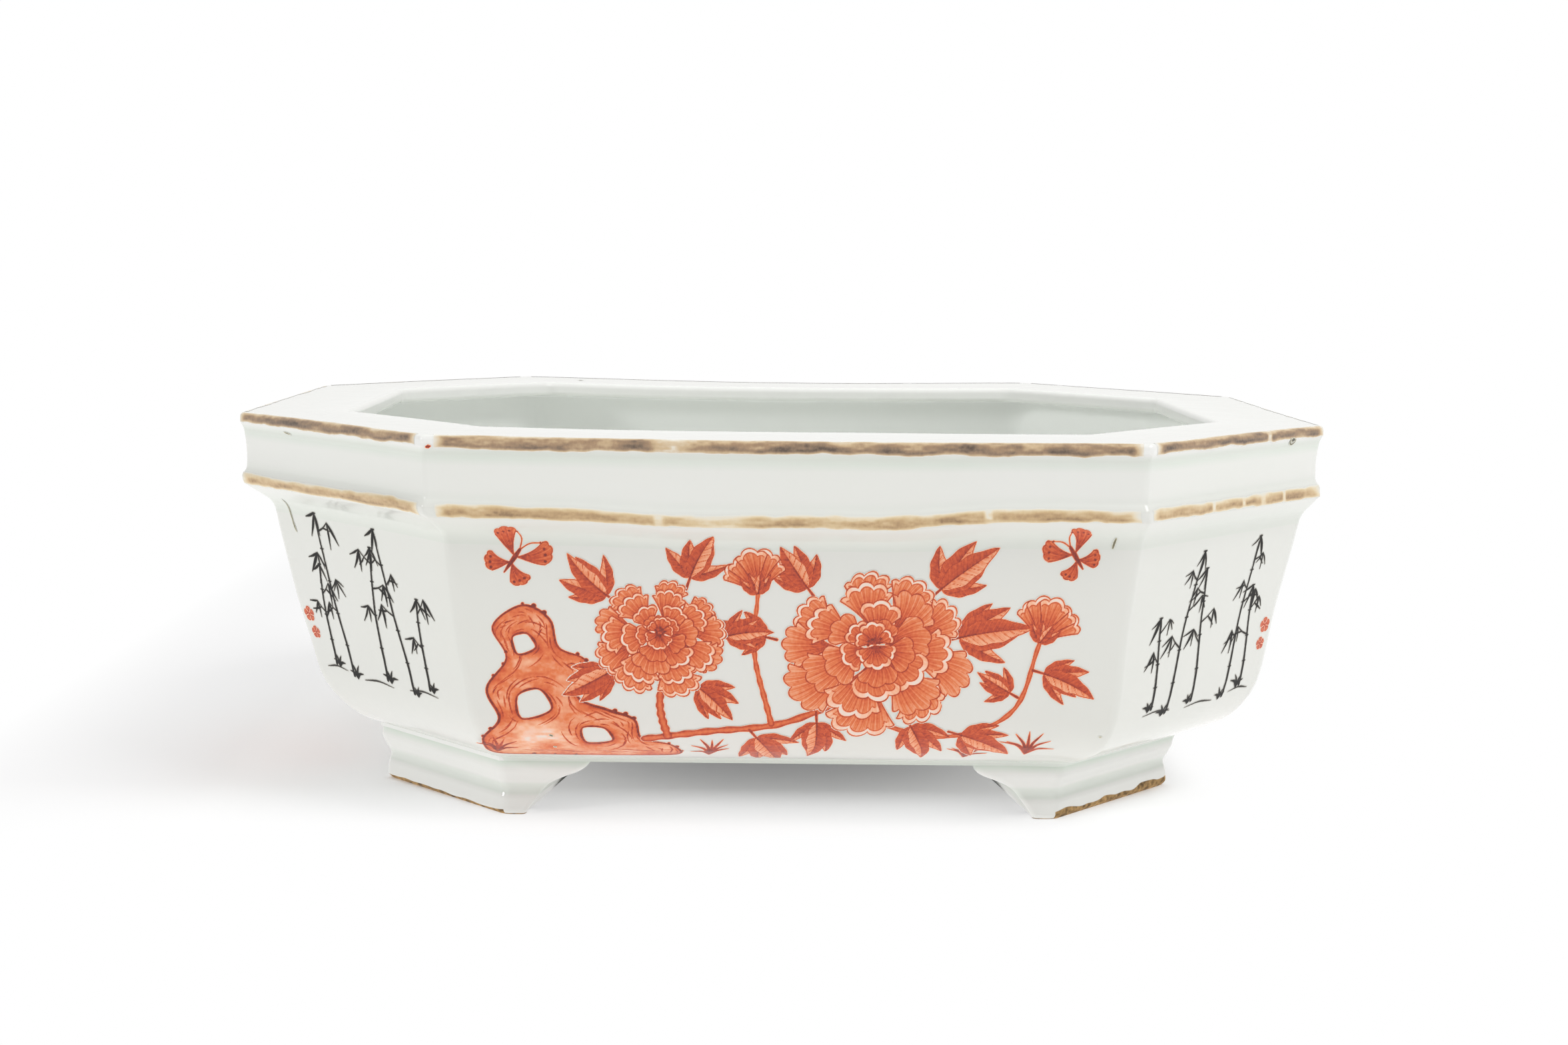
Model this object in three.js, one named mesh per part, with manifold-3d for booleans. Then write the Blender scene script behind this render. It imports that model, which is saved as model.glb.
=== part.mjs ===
// An octagonal porcelain jardiniere on four bracket feet, built as a potter builds it: flat and
// moulded slabs of clay, mitred at the eight corners and luted together with slip.
// Millimetres, +Z up, origin on the ground under the middle of the pot, front facing -Y.

import * as THREE from "three";
import { mergeVertices } from "three/addons/utils/BufferGeometryUtils.js";
import Module from "manifold-3d";

const wasm = await Module();
wasm.setup();

// The outline over the lip's edge, its cut corners and the height.
const LENGTH = 310;
const WIDTH = 236;
const CORNER_CUT = 61.5;
const HEIGHT = 110.5;

// Neighbouring slabs are held this far apart, the room of a slip joint.
const JOINT_GAP = 0.3;

// Every inset below is measured inwards from the outline, square to the side it belongs to.
// The flat lip, with its eased outer edge and rounded inner edge.
const LIP_WIDTH = 29;
const LIP_THICKNESS = 5;
const LIP_OUTER_EASE = 1.4;
const LIP_INNER_EASE = 1.5;
const LIP_UNDERSIDE_EASE = 0.8;
const LIP_BOTTOM = HEIGHT - LIP_THICKNESS;

// The moulded collar under the lip: a cove, a bead and a slightly hollowed band.
const COVE_RADIUS = 8;
const COVE_CENTRE_INSET = -1.5;
const COVE_CENTRE_HEIGHT = 80;
const COVE_START_DEGREES = 9;
const COVE_END_DEGREES = 75;
const COVE_STEPS = 6;
const BEAD_BOTTOM = 88.6;
const BEAD_TOP = 90.8;
const BAND_BOTTOM = 91.8;
const BAND_EDGE_INSET = 0.6;
const BAND_HOLLOW = 0.7;
const BAND_STEPS = 4;

// The walls: upright behind the collar, then leaning in, then turned under to the floor.
const WALL_THICKNESS = 7.5;
const WALL_TOP = LIP_BOTTOM - JOINT_GAP;
const WALL_HEAD_INSET = 7;
const WALL_BATTER_TOP = 81;
const WALL_TURN_HEIGHT = 38;
const WALL_FOOT_INSET = 36;
const TURN_RADIUS = 26;
const TURN_CENTRE_INSET = 41.25;
const TURN_CENTRE_HEIGHT = 43.28;
const TURN_STEPS = 8;

// The floor, with its two drain holes.
const BASE_HEIGHT = 16;
const FLOOR_THICKNESS = 9;
const DRAIN_RADIUS = 7;
const DRAIN_SPACING = 110;
const DRAIN_STEPS = 12;

// The bracket feet. Their moulding runs through these [inset, height] points from head to ground,
// and each wing ends in an ogee through these [distance from the foot's corner, height] points.
const FOOT_THICKNESS = 9;
const FOOT_TOP = BASE_HEIGHT - JOINT_GAP;
const FOOT_HEAD_INSET = 36.3;
const FOOT_PAD_INSET = 37.8;
const FOOT_MOULDING = [
  [FOOT_HEAD_INSET, FOOT_TOP],
  [FOOT_HEAD_INSET, 12.9],
  [37.7, 9.9],
  [38.9, 7.6],
  [38, 4.9],
  [FOOT_PAD_INSET, 1.6],
  [38.7, 0],
];
const FOOT_OGEE = [
  [6.5, 0],
  [8.2, 0.9],
  [10.2, 3.2],
  [12.6, 6.3],
  [16.2, 8.9],
  [20.2, 10.2],
  [23.4, 11.8],
  [24.8, FOOT_TOP],
];
const FOOT_STEPS = 14;

const MITRE_SLOPE = Math.tan(Math.PI / 8);
const MITRE_GAP = JOINT_GAP / 2 / Math.cos(Math.PI / 8);

const HALF_LENGTH = LENGTH / 2;
const HALF_WIDTH = WIDTH / 2;
const LONG_HALF = HALF_LENGTH - CORNER_CUT;
const SHORT_HALF = HALF_WIDTH - CORNER_CUT;
const CORNER_HALF = CORNER_CUT / Math.SQRT2;
const CORNER_X = HALF_LENGTH - CORNER_CUT / 2;
const CORNER_Y = HALF_WIDTH - CORNER_CUT / 2;

// The eight sides, counter-clockwise from above: the way each faces in degrees, the middle of its
// edge on the outline and half that edge's length.
const SIDES = [
  { name: "front", facing: -90, x: 0, y: -HALF_WIDTH, half: LONG_HALF },
  { name: "front_right_corner", facing: -45, x: CORNER_X, y: -CORNER_Y, half: CORNER_HALF },
  { name: "right_end", facing: 0, x: HALF_LENGTH, y: 0, half: SHORT_HALF },
  { name: "back_right_corner", facing: 45, x: CORNER_X, y: CORNER_Y, half: CORNER_HALF },
  { name: "back", facing: 90, x: 0, y: HALF_WIDTH, half: LONG_HALF },
  { name: "back_left_corner", facing: 135, x: -CORNER_X, y: CORNER_Y, half: CORNER_HALF },
  { name: "left_end", facing: 180, x: -HALF_LENGTH, y: 0, half: SHORT_HALF },
  { name: "front_left_corner", facing: 225, x: -CORNER_X, y: -CORNER_Y, half: CORNER_HALF },
];

const WALL_WHITE = 0xe9ebe4;
const COLLAR_WHITE = 0xe0e4e3;
const LIP_WHITE = 0xe8ebe6;
const FOOT_WHITE = 0xe5e7df;
const INNER_CELADON = 0xcdd9cf;

function glazed(colour) {
  return new THREE.MeshStandardMaterial({ color: colour, roughness: 0.15, metalness: 0 });
}

// Section points [inset, height] along an arc; an angle of 0 points inwards and PI / 2 up.
function sectionArc(centreInset, centreHeight, radius, from, to, steps) {
  const points = [];
  for (let i = 0; i <= steps; i++) {
    const angle = from + ((to - from) * i) / steps;
    points.push([centreInset + radius * Math.cos(angle), centreHeight + radius * Math.sin(angle)]);
  }
  return points;
}

function smoothThrough(points, steps) {
  return new THREE.SplineCurve(points.map(([x, y]) => new THREE.Vector2(x, y))).getPoints(steps);
}

// A length of slab or moulding with this section, cut to a mitre at both ends of its side.
// In the piece's own frame X points out of the side and Y runs along it.
function mitredStrip(side, section) {
  const outline = section.map(([inset, height]) => new THREE.Vector2(-inset, height));
  const geometry = new THREE.ExtrudeGeometry(new THREE.Shape(outline), {
    depth: 1,
    steps: 1,
    bevelEnabled: false,
  });
  geometry.translate(0, 0, -0.5);
  geometry.rotateX(Math.PI / 2);
  const place = geometry.attributes.position;
  for (let i = 0; i < place.count; i++) {
    const inset = -place.getX(i);
    const reach = side.half - inset * MITRE_SLOPE - MITRE_GAP;
    place.setY(i, Math.sign(place.getY(i)) * reach);
  }
  return geometry;
}

// Puts a piece made in a side's own frame onto that side.
function onSide(side, geometry, name, colour) {
  const mesh = new THREE.Mesh(geometry, glazed(colour));
  mesh.name = name;
  mesh.position.set(side.x, side.y, 0);
  mesh.rotation.z = THREE.MathUtils.degToRad(side.facing);
  return mesh;
}

function toSolid(geometry) {
  const bare = geometry.clone();
  bare.deleteAttribute("normal");
  bare.deleteAttribute("uv");
  const merged = mergeVertices(bare, 1e-4);
  return new wasm.Manifold(
    new wasm.Mesh({
      numProp: 3,
      vertProperties: merged.attributes.position.array,
      triVerts: new Uint32Array(merged.index.array),
    }),
  );
}

function toGeometry(solid) {
  const mesh = solid.getMesh();
  const geometry = new THREE.BufferGeometry();
  geometry.setAttribute("position", new THREE.BufferAttribute(mesh.vertProperties, 3));
  geometry.setIndex(new THREE.BufferAttribute(mesh.triVerts, 1));
  geometry.computeVertexNormals();
  return geometry;
}

function lipSection() {
  return [
    [0.5 * LIP_UNDERSIDE_EASE, LIP_BOTTOM],
    [0, LIP_BOTTOM + LIP_UNDERSIDE_EASE],
    [0, HEIGHT - LIP_OUTER_EASE],
    [0.3 * LIP_OUTER_EASE, HEIGHT - 0.3 * LIP_OUTER_EASE],
    [LIP_OUTER_EASE, HEIGHT],
    [LIP_WIDTH - LIP_INNER_EASE, HEIGHT],
    [LIP_WIDTH - 0.3 * LIP_INNER_EASE, HEIGHT - 0.3 * LIP_INNER_EASE],
    [LIP_WIDTH, HEIGHT - LIP_INNER_EASE],
    [LIP_WIDTH, LIP_BOTTOM + LIP_UNDERSIDE_EASE],
    [LIP_WIDTH - LIP_UNDERSIDE_EASE, LIP_BOTTOM],
  ];
}

function collarSection() {
  const backInset = WALL_HEAD_INSET - JOINT_GAP;
  const start = THREE.MathUtils.degToRad(COVE_START_DEGREES);
  const end = THREE.MathUtils.degToRad(COVE_END_DEGREES);
  const band = [];
  for (let i = 0; i <= BAND_STEPS; i++) {
    const share = i / BAND_STEPS;
    const inset = BAND_EDGE_INSET + BAND_HOLLOW * Math.sin(Math.PI * share);
    band.push([inset, THREE.MathUtils.lerp(BAND_BOTTOM, WALL_TOP, share)]);
  }
  return [
    [backInset, WALL_TOP],
    [backInset, WALL_BATTER_TOP],
    ...sectionArc(COVE_CENTRE_INSET, COVE_CENTRE_HEIGHT, COVE_RADIUS, start, end, COVE_STEPS),
    [0, BEAD_BOTTOM],
    [0, BEAD_TOP],
    ...band,
  ];
}

// Below the batter the wall's faces are two arcs about one centre, so it keeps its thickness.
function wallSection() {
  const innerRadius = TURN_RADIUS - WALL_THICKNESS;
  const reach = TURN_CENTRE_INSET - WALL_FOOT_INSET;
  const start = Math.PI + Math.asin((TURN_CENTRE_HEIGHT - WALL_TURN_HEIGHT) / TURN_RADIUS);
  const outerEnd = 1.5 * Math.PI - Math.asin(reach / TURN_RADIUS);
  const innerEnd = 1.5 * Math.PI - Math.asin(reach / innerRadius);
  const centre = [TURN_CENTRE_INSET, TURN_CENTRE_HEIGHT];
  return [
    [WALL_HEAD_INSET, WALL_TOP],
    [WALL_HEAD_INSET, WALL_BATTER_TOP],
    ...sectionArc(...centre, TURN_RADIUS, start, outerEnd, TURN_STEPS),
    [WALL_FOOT_INSET, BASE_HEIGHT],
    ...sectionArc(...centre, innerRadius, innerEnd, start, TURN_STEPS),
    [WALL_HEAD_INSET + WALL_THICKNESS, WALL_BATTER_TOP],
    [WALL_HEAD_INSET + WALL_THICKNESS, WALL_TOP],
  ];
}

function footSection() {
  const backInset = FOOT_HEAD_INSET + FOOT_THICKNESS;
  const face = smoothThrough(FOOT_MOULDING, FOOT_STEPS).map(({ x, y }) => [x, y]);
  return [[backInset, FOOT_TOP], ...face, [backInset, 0]];
}

// One wing of a foot: the moulding of its side, cut to the ogee. End +1 or -1 says which corner.
function footWing(side, end) {
  const corner = side.half - FOOT_PAD_INSET * MITRE_SLOPE;
  const past = FOOT_THICKNESS;
  const silhouette = new THREE.Shape([
    new THREE.Vector2(-past, -1),
    new THREE.Vector2(FOOT_OGEE[0][0], -1),
    ...smoothThrough(FOOT_OGEE, FOOT_STEPS),
    new THREE.Vector2(FOOT_OGEE.at(-1)[0], FOOT_TOP + 1),
    new THREE.Vector2(-past, FOOT_TOP + 1),
  ]);
  const blade = new THREE.ExtrudeGeometry(silhouette, { depth: 2 * past, bevelEnabled: false });
  blade.rotateX(Math.PI / 2);
  blade.rotateZ((-end * Math.PI) / 2);
  const middleInset = FOOT_HEAD_INSET + FOOT_THICKNESS / 2;
  blade.translate(end * past - middleInset, end * corner, 0);
  return toGeometry(toSolid(mitredStrip(side, footSection())).intersect(toSolid(blade)));
}

// The floor: one octagonal slab inside the walls' feet, with its two drain holes.
function floorSlab() {
  const inset = WALL_FOOT_INSET + JOINT_GAP;
  const corners = SIDES.map((side) => {
    const along = side.half - inset * MITRE_SLOPE;
    return new THREE.Vector2(-inset, along)
      .rotateAround(new THREE.Vector2(), THREE.MathUtils.degToRad(side.facing))
      .add(new THREE.Vector2(side.x, side.y));
  });
  const shape = new THREE.Shape(corners);
  for (const end of [-1, 1]) {
    const hole = new THREE.Path();
    hole.absarc((end * DRAIN_SPACING) / 2, 0, DRAIN_RADIUS, 0, 2 * Math.PI, true);
    shape.holes.push(hole);
  }
  const geometry = new THREE.ExtrudeGeometry(shape, {
    depth: FLOOR_THICKNESS,
    curveSegments: DRAIN_STEPS,
    bevelEnabled: false,
  });
  const mesh = new THREE.Mesh(geometry, glazed(INNER_CELADON));
  mesh.name = "floor_slab";
  mesh.position.z = BASE_HEIGHT;
  return mesh;
}

function walls() {
  const group = new THREE.Group();
  for (const side of SIDES) {
    const wall = mitredStrip(side, wallSection());
    group.add(onSide(side, wall, `${side.name}_wall`, WALL_WHITE));
  }
  return group;
}

function rim() {
  const group = new THREE.Group();
  for (const side of SIDES) {
    const collar = mitredStrip(side, collarSection());
    const lip = mitredStrip(side, lipSection());
    group.add(onSide(side, collar, `${side.name}_collar`, COLLAR_WHITE));
    group.add(onSide(side, lip, `${side.name}_lip`, LIP_WHITE));
  }
  return group;
}

// Each foot wraps a cut corner: a middle bracket and a wing on either side of it.
function feet() {
  const group = new THREE.Group();
  for (let i = 1; i < SIDES.length; i += 2) {
    const corner = SIDES[i];
    const foot = corner.name.replace("_corner", "_foot");
    const middle = mitredStrip(corner, footSection());
    group.add(onSide(corner, middle, `${foot}_middle`, FOOT_WHITE));
    for (const end of [1, -1]) {
      const side = SIDES[(i - end + SIDES.length) % SIDES.length];
      const which = side.half === LONG_HALF ? "long" : "short";
      group.add(onSide(side, footWing(side, end), `${foot}_${which}_wing`, FOOT_WHITE));
    }
  }
  return group;
}

const jardiniere = new THREE.Group();
jardiniere.add(floorSlab(), walls(), rim(), feet());

export default jardiniere;
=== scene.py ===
"""The looks of an octagonal porcelain jardiniere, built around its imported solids.

Sizes are in millimetres, as a potter would measure them, until a mesh is finished in metres. A
section point is an inset, measured inwards from the lip's outline square to its side, and a
height above the ground. A point of a picture is a complex number: millimetres across the wall's
face from its middle, and millimetres up that face along its curve.
"""

import logging
import math
from collections.abc import Iterable, Sequence
from dataclasses import dataclass, field
from enum import Enum

import bmesh
import bpy
import numpy as np
from mathutils import Matrix, Vector


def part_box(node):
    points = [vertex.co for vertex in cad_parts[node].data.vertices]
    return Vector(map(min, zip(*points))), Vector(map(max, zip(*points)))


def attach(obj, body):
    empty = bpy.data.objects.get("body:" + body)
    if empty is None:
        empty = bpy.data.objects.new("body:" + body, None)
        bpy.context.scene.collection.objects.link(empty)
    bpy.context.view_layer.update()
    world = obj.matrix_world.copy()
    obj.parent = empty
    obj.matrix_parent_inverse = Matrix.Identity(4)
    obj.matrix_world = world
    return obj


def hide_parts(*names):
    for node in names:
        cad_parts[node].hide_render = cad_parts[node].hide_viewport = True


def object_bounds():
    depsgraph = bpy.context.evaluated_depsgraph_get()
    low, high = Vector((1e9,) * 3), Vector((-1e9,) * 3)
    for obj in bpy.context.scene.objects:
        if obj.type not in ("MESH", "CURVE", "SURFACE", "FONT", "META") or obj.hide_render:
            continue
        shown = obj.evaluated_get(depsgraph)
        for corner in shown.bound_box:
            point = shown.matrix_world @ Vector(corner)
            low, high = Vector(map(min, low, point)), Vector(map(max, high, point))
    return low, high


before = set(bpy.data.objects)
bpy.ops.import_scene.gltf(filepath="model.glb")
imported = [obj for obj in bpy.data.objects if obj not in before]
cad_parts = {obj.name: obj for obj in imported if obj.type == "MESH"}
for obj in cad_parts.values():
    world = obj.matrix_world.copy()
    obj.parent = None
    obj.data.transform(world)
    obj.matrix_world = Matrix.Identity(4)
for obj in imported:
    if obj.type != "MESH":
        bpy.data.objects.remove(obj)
CAD_LOW, CAD_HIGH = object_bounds()

LOG = logging.getLogger("jardiniere")

MM = 0.001
BODY = "root"

# The driving sizes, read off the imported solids.
LENGTH, WIDTH, HEIGHT = (side / MM for side in CAD_HIGH - CAD_LOW)
JOINT_GAP = 0.3
MITRE_ANGLE = math.pi / 8
MITRE_SLOPE = math.tan(MITRE_ANGLE)
LONG_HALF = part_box("front_lip")[1].x / MM + JOINT_GAP / 2 / math.cos(MITRE_ANGLE)
CORNER_CUT = LENGTH / 2 - LONG_HALF
SHORT_HALF = WIDTH / 2 - CORNER_CUT
FLOOR_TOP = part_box("floor_slab")[1].z / MM
FLOOR_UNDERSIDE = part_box("floor_slab")[0].z / MM

# The photograph's frame and the camera that was fitted to the lip's eight corners in it.
PHOTO_WIDTH = 2353
FOCAL_PIXELS = 3006.0
SENSOR_WIDTH = 36.0
CAMERA_ASIDE = 1.3
CAMERA_AWAY = 627.1
CAMERA_HEIGHT = 158.5
CAMERA_PITCH = math.radians(7.78)
CAMERA_ROLL = math.radians(-0.82)
OBJECT_YAW = math.radians(0.95)

# How far each panel has drawn in between the stiffer upright corners, and the heights over which
# that begins above the foot and ends under the lip.
PANEL_HOLLOW = 0.45
PANEL_FOOT = (18, 40)
PANEL_HEAD = (84, 101)

# How far the enamels stand proud of the glaze, leaves first and blooms over them.
ENAMEL_LIFT = 0.05
BRANCH_LIFT = 0.08
BLOOM_LIFT = 0.11
GILT_LIFT = 0.05

# The grid that a picture is painted on.
CELL = 0.2


class Face(Enum):
    """The eight sides of the pot, by the first part of their nodes' names."""

    FRONT = "front"
    FRONT_RIGHT = "front_right_corner"
    RIGHT = "right_end"
    BACK_RIGHT = "back_right_corner"
    BACK = "back"
    BACK_LEFT = "back_left_corner"
    LEFT = "left_end"
    FRONT_LEFT = "front_left_corner"


class Slot(Enum):
    """The material slots."""

    WALL = "wall_glaze"
    COLLAR = "collar_glaze"
    LIP = "lip_glaze"
    FOOT = "foot_glaze"
    INNER = "inner_glaze"
    GILT = "gilding"
    RED = "iron_red_enamel"
    BLACK = "black_enamel"


def linear(code: str) -> tuple[float, float, float, float]:
    """Turns an sRGB hex colour to Blender's linear colour.

    Args:
        code: Six hex digits.

    Returns:
        Its three colour channels, red first, and an alpha of 1.
    """
    shades = [int(code[i : i + 2], 16) / 255 for i in (0, 2, 4)]
    light = [s / 12.92 if s <= 0.04045 else ((s + 0.055) / 1.055) ** 2.4 for s in shades]
    return (*light, 1.0)


def smoothstep(low: float, high: float, value: np.ndarray) -> np.ndarray:
    """Rises smoothly from 0 at low to 1 at high."""
    t = np.clip((value - low) / (high - low), 0, 1)
    return t * t * (3 - 2 * t)


def covered(depth: np.ndarray) -> np.ndarray:
    """Gives how much of a cell a shape covers, by how deep the cell lies inside its edge."""
    return np.clip(depth / CELL + 0.5, 0, 1)


def through(points: Sequence[complex], steps: int = 8) -> np.ndarray:
    """Draws a smooth curve through points.

    Args:
        points: The points, in order.
        steps: Pieces between each point and the next.

    Returns:
        The curve's points, the given ones among them.
    """
    knots = np.array([2 * points[0] - points[1], *points, 2 * points[-1] - points[-2]])
    curve = []
    for a, b, c, d in zip(knots, knots[1:], knots[2:], knots[3:]):
        for t in np.arange(steps) / steps:
            bent = (2 * a - 5 * b + 4 * c - d) * t**2 + (3 * b - a - 3 * c + d) * t**3
            curve.append(b + ((c - a) * t + bent) / 2)
    return np.array([*curve, points[-1]])


def around(points: Sequence[complex], steps: int = 8) -> np.ndarray:
    """Draws a smooth closed curve through points, and ends it where it starts.

    Args:
        points: The points, in order.
        steps: Pieces between each point and the next.

    Returns:
        The curve's points.
    """
    ring = through([*points[-2:], *points, *points[:3]], steps)
    return ring[2 * steps : (2 + len(points)) * steps + 1]


def within(path: np.ndarray, spots: np.ndarray) -> np.ndarray:
    """Tells which spots lie inside a closed path.

    Args:
        path: The path's points, the last one the same as the first.
        spots: The places to tell.

    Returns:
        True for each spot inside.
    """
    crossings = np.zeros(spots.shape, int)
    for a, b in zip(path, path[1:]):
        spans = (a.imag > spots.imag) != (b.imag > spots.imag)
        share = (spots.imag - a.imag) / ((b.imag - a.imag) or 1)
        crossings += spans & (spots.real < a.real + share * (b.real - a.real))
    return crossings % 2 == 1


def beside(path: np.ndarray, spots: np.ndarray) -> tuple[np.ndarray, np.ndarray]:
    """Measures spots against a path.

    Args:
        path: The path's points.
        spots: The places to measure.

    Returns:
        How far along the path each spot is, from 0 to 1, and how far aside: left is positive.
    """
    share, aside = np.zeros(spots.shape), np.full(spots.shape, 1e3)
    for k, (a, b) in enumerate(zip(path, path[1:])):
        way = (spots - a) / (b - a)
        on = np.clip(way.real, 0, 1)
        gap = np.abs(way - on) * abs(b - a)
        closer = gap < np.abs(aside)
        aside = np.where(closer, gap * np.where(way.imag < 0, -1, 1), aside)
        share = np.where(closer, (k + on) / (len(path) - 1), share)
    return share, aside


@dataclass(frozen=True)
class Side:
    """One side of the pot: the way it faces, and its edge on the lip's outline."""

    face: Face
    facing: float
    x: float
    y: float
    half: float

    @property
    def is_long(self) -> bool:
        """Tells whether it is the front or the back."""
        return self.face in (Face.FRONT, Face.BACK)

    @property
    def is_cut(self) -> bool:
        """Tells whether it is one of the four cut corners."""
        return self.face.value.endswith("_corner")

    def axes(self) -> tuple[np.ndarray, np.ndarray]:
        """Gives the directions out of this side and along it, to the right seen from outside."""
        out = np.array([math.cos(self.facing), math.sin(self.facing), 0.0])
        return out, np.array([-out[1], out[0], 0.0])

    def place(self, along: np.ndarray, inset: np.ndarray, height: np.ndarray) -> np.ndarray:
        """Places points that are given in this side's own terms.

        Args:
            along: Distance along the side from its middle.
            inset: Distance inwards from the outline.
            height: Height above the ground.

        Returns:
            An array of points, in millimetres.
        """
        out, right = self.axes()
        reach = np.clip(np.abs(along) / (self.half - inset * MITRE_SLOPE), 0, 1)
        between = smoothstep(*PANEL_FOOT, height) * (1 - smoothstep(*PANEL_HEAD, height))
        inset = inset + PANEL_HOLLOW * (1 - reach**8) * between
        flat = np.array([self.x, self.y, 0.0]) - np.multiply.outer(inset, out)
        return flat + np.multiply.outer(along, right) + np.multiply.outer(height, (0, 0, 1))


def all_sides() -> dict[Face, Side]:
    """Works out the eight sides.

    Returns:
        Each side by its face, counter-clockwise from above.
    """
    middle_x = (LENGTH - CORNER_CUT) / 2
    middle_y = (WIDTH - CORNER_CUT) / 2
    cut_half = CORNER_CUT / math.sqrt(2)
    places = {
        Face.FRONT: (-90, 0, -WIDTH / 2, LONG_HALF),
        Face.FRONT_RIGHT: (-45, middle_x, -middle_y, cut_half),
        Face.RIGHT: (0, LENGTH / 2, 0, SHORT_HALF),
        Face.BACK_RIGHT: (45, middle_x, middle_y, cut_half),
        Face.BACK: (90, 0, WIDTH / 2, LONG_HALF),
        Face.BACK_LEFT: (135, -middle_x, middle_y, cut_half),
        Face.LEFT: (180, -LENGTH / 2, 0, SHORT_HALF),
        Face.FRONT_LEFT: (225, -middle_x, -middle_y, cut_half),
    }
    return {f: Side(f, math.radians(deg), x, y, h) for f, (deg, x, y, h) in places.items()}


SIDES = all_sides()
FACES = list(Face)


def hand_made(points: np.ndarray) -> np.ndarray:
    """Bends true shapes a little, as a slab-built pot bends when it dries and is fired.

    The rim sags between its corners and the bead, laid on by hand, more so. The belly has slumped
    to the right, and its right end a little down. Every number here is a height, a place along the
    pot or a distance in millimetres, or a share of one.

    Args:
        points: Points in millimetres.

    Returns:
        The same points, moved by up to three millimetres, and never out of the true lip's box.
    """
    x, y, z = points.T
    span = np.clip(1 - (x / LONG_HALF) ** 2, 0, 1) ** 1.5
    rise = smoothstep(94, 107, z)
    sag = rise * span * np.where(y < 0, 0.6, 1.1)
    ripple = rise * 0.1 * (1 + np.sin(x / 21 + 0.8) * np.cos(y / 26 + 0.3))
    dip = 1.6 * smoothstep(-60, -24, -np.abs(x + 2))
    ends = 1.1 * smoothstep(20, 75, x) + smoothstep(75, 110, -x)
    at_bead = smoothstep(74, 88, z) * (1 - smoothstep(92, 106, z))
    bow = at_bead * np.where(y < 0, 0.3 - dip + ends, -0.8 * span)
    slump = (2.0 + smoothstep(60, 38, z)) * smoothstep(91, 83, z) * smoothstep(13, 25, z)
    drop = 0.6 * smoothstep(55, 115, x) * smoothstep(8, 17, z) * smoothstep(60, 30, z)
    swell = 0.5 + 0.25 * np.sin(x / 27 + z / 19 + 0.7) + 0.25 * np.sin(y / 23 - z / 31 + x / 45)
    draw = 0.25 * swell * smoothstep(4, 30, z) * (1 - 0.7 * rise)
    keep = 1 - draw / (np.hypot(x, y) + 1e-6)
    return np.stack([x * keep + slump, y * keep, z - sag - ripple + bow - drop], axis=1)


@dataclass(frozen=True)
class Bend:
    """A corner of a section, and the finish of the clay and glaze there.

    soft is the radius that the corner is eased to, arris the radius of the pot's upright corners
    at this level, pool how thickly the glaze has run in, green how far it turns to the
    inner colour, a faintly greenish white lightened as painted light where the pot is in shade, and
    corner how much more glaze stands in the upright corners.
    """

    inset: float
    height: float
    soft: float = 0.0
    arris: float = 2.0
    pool: float = 0.0
    green: float = 0.0
    corner: float = 0.0


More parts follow.
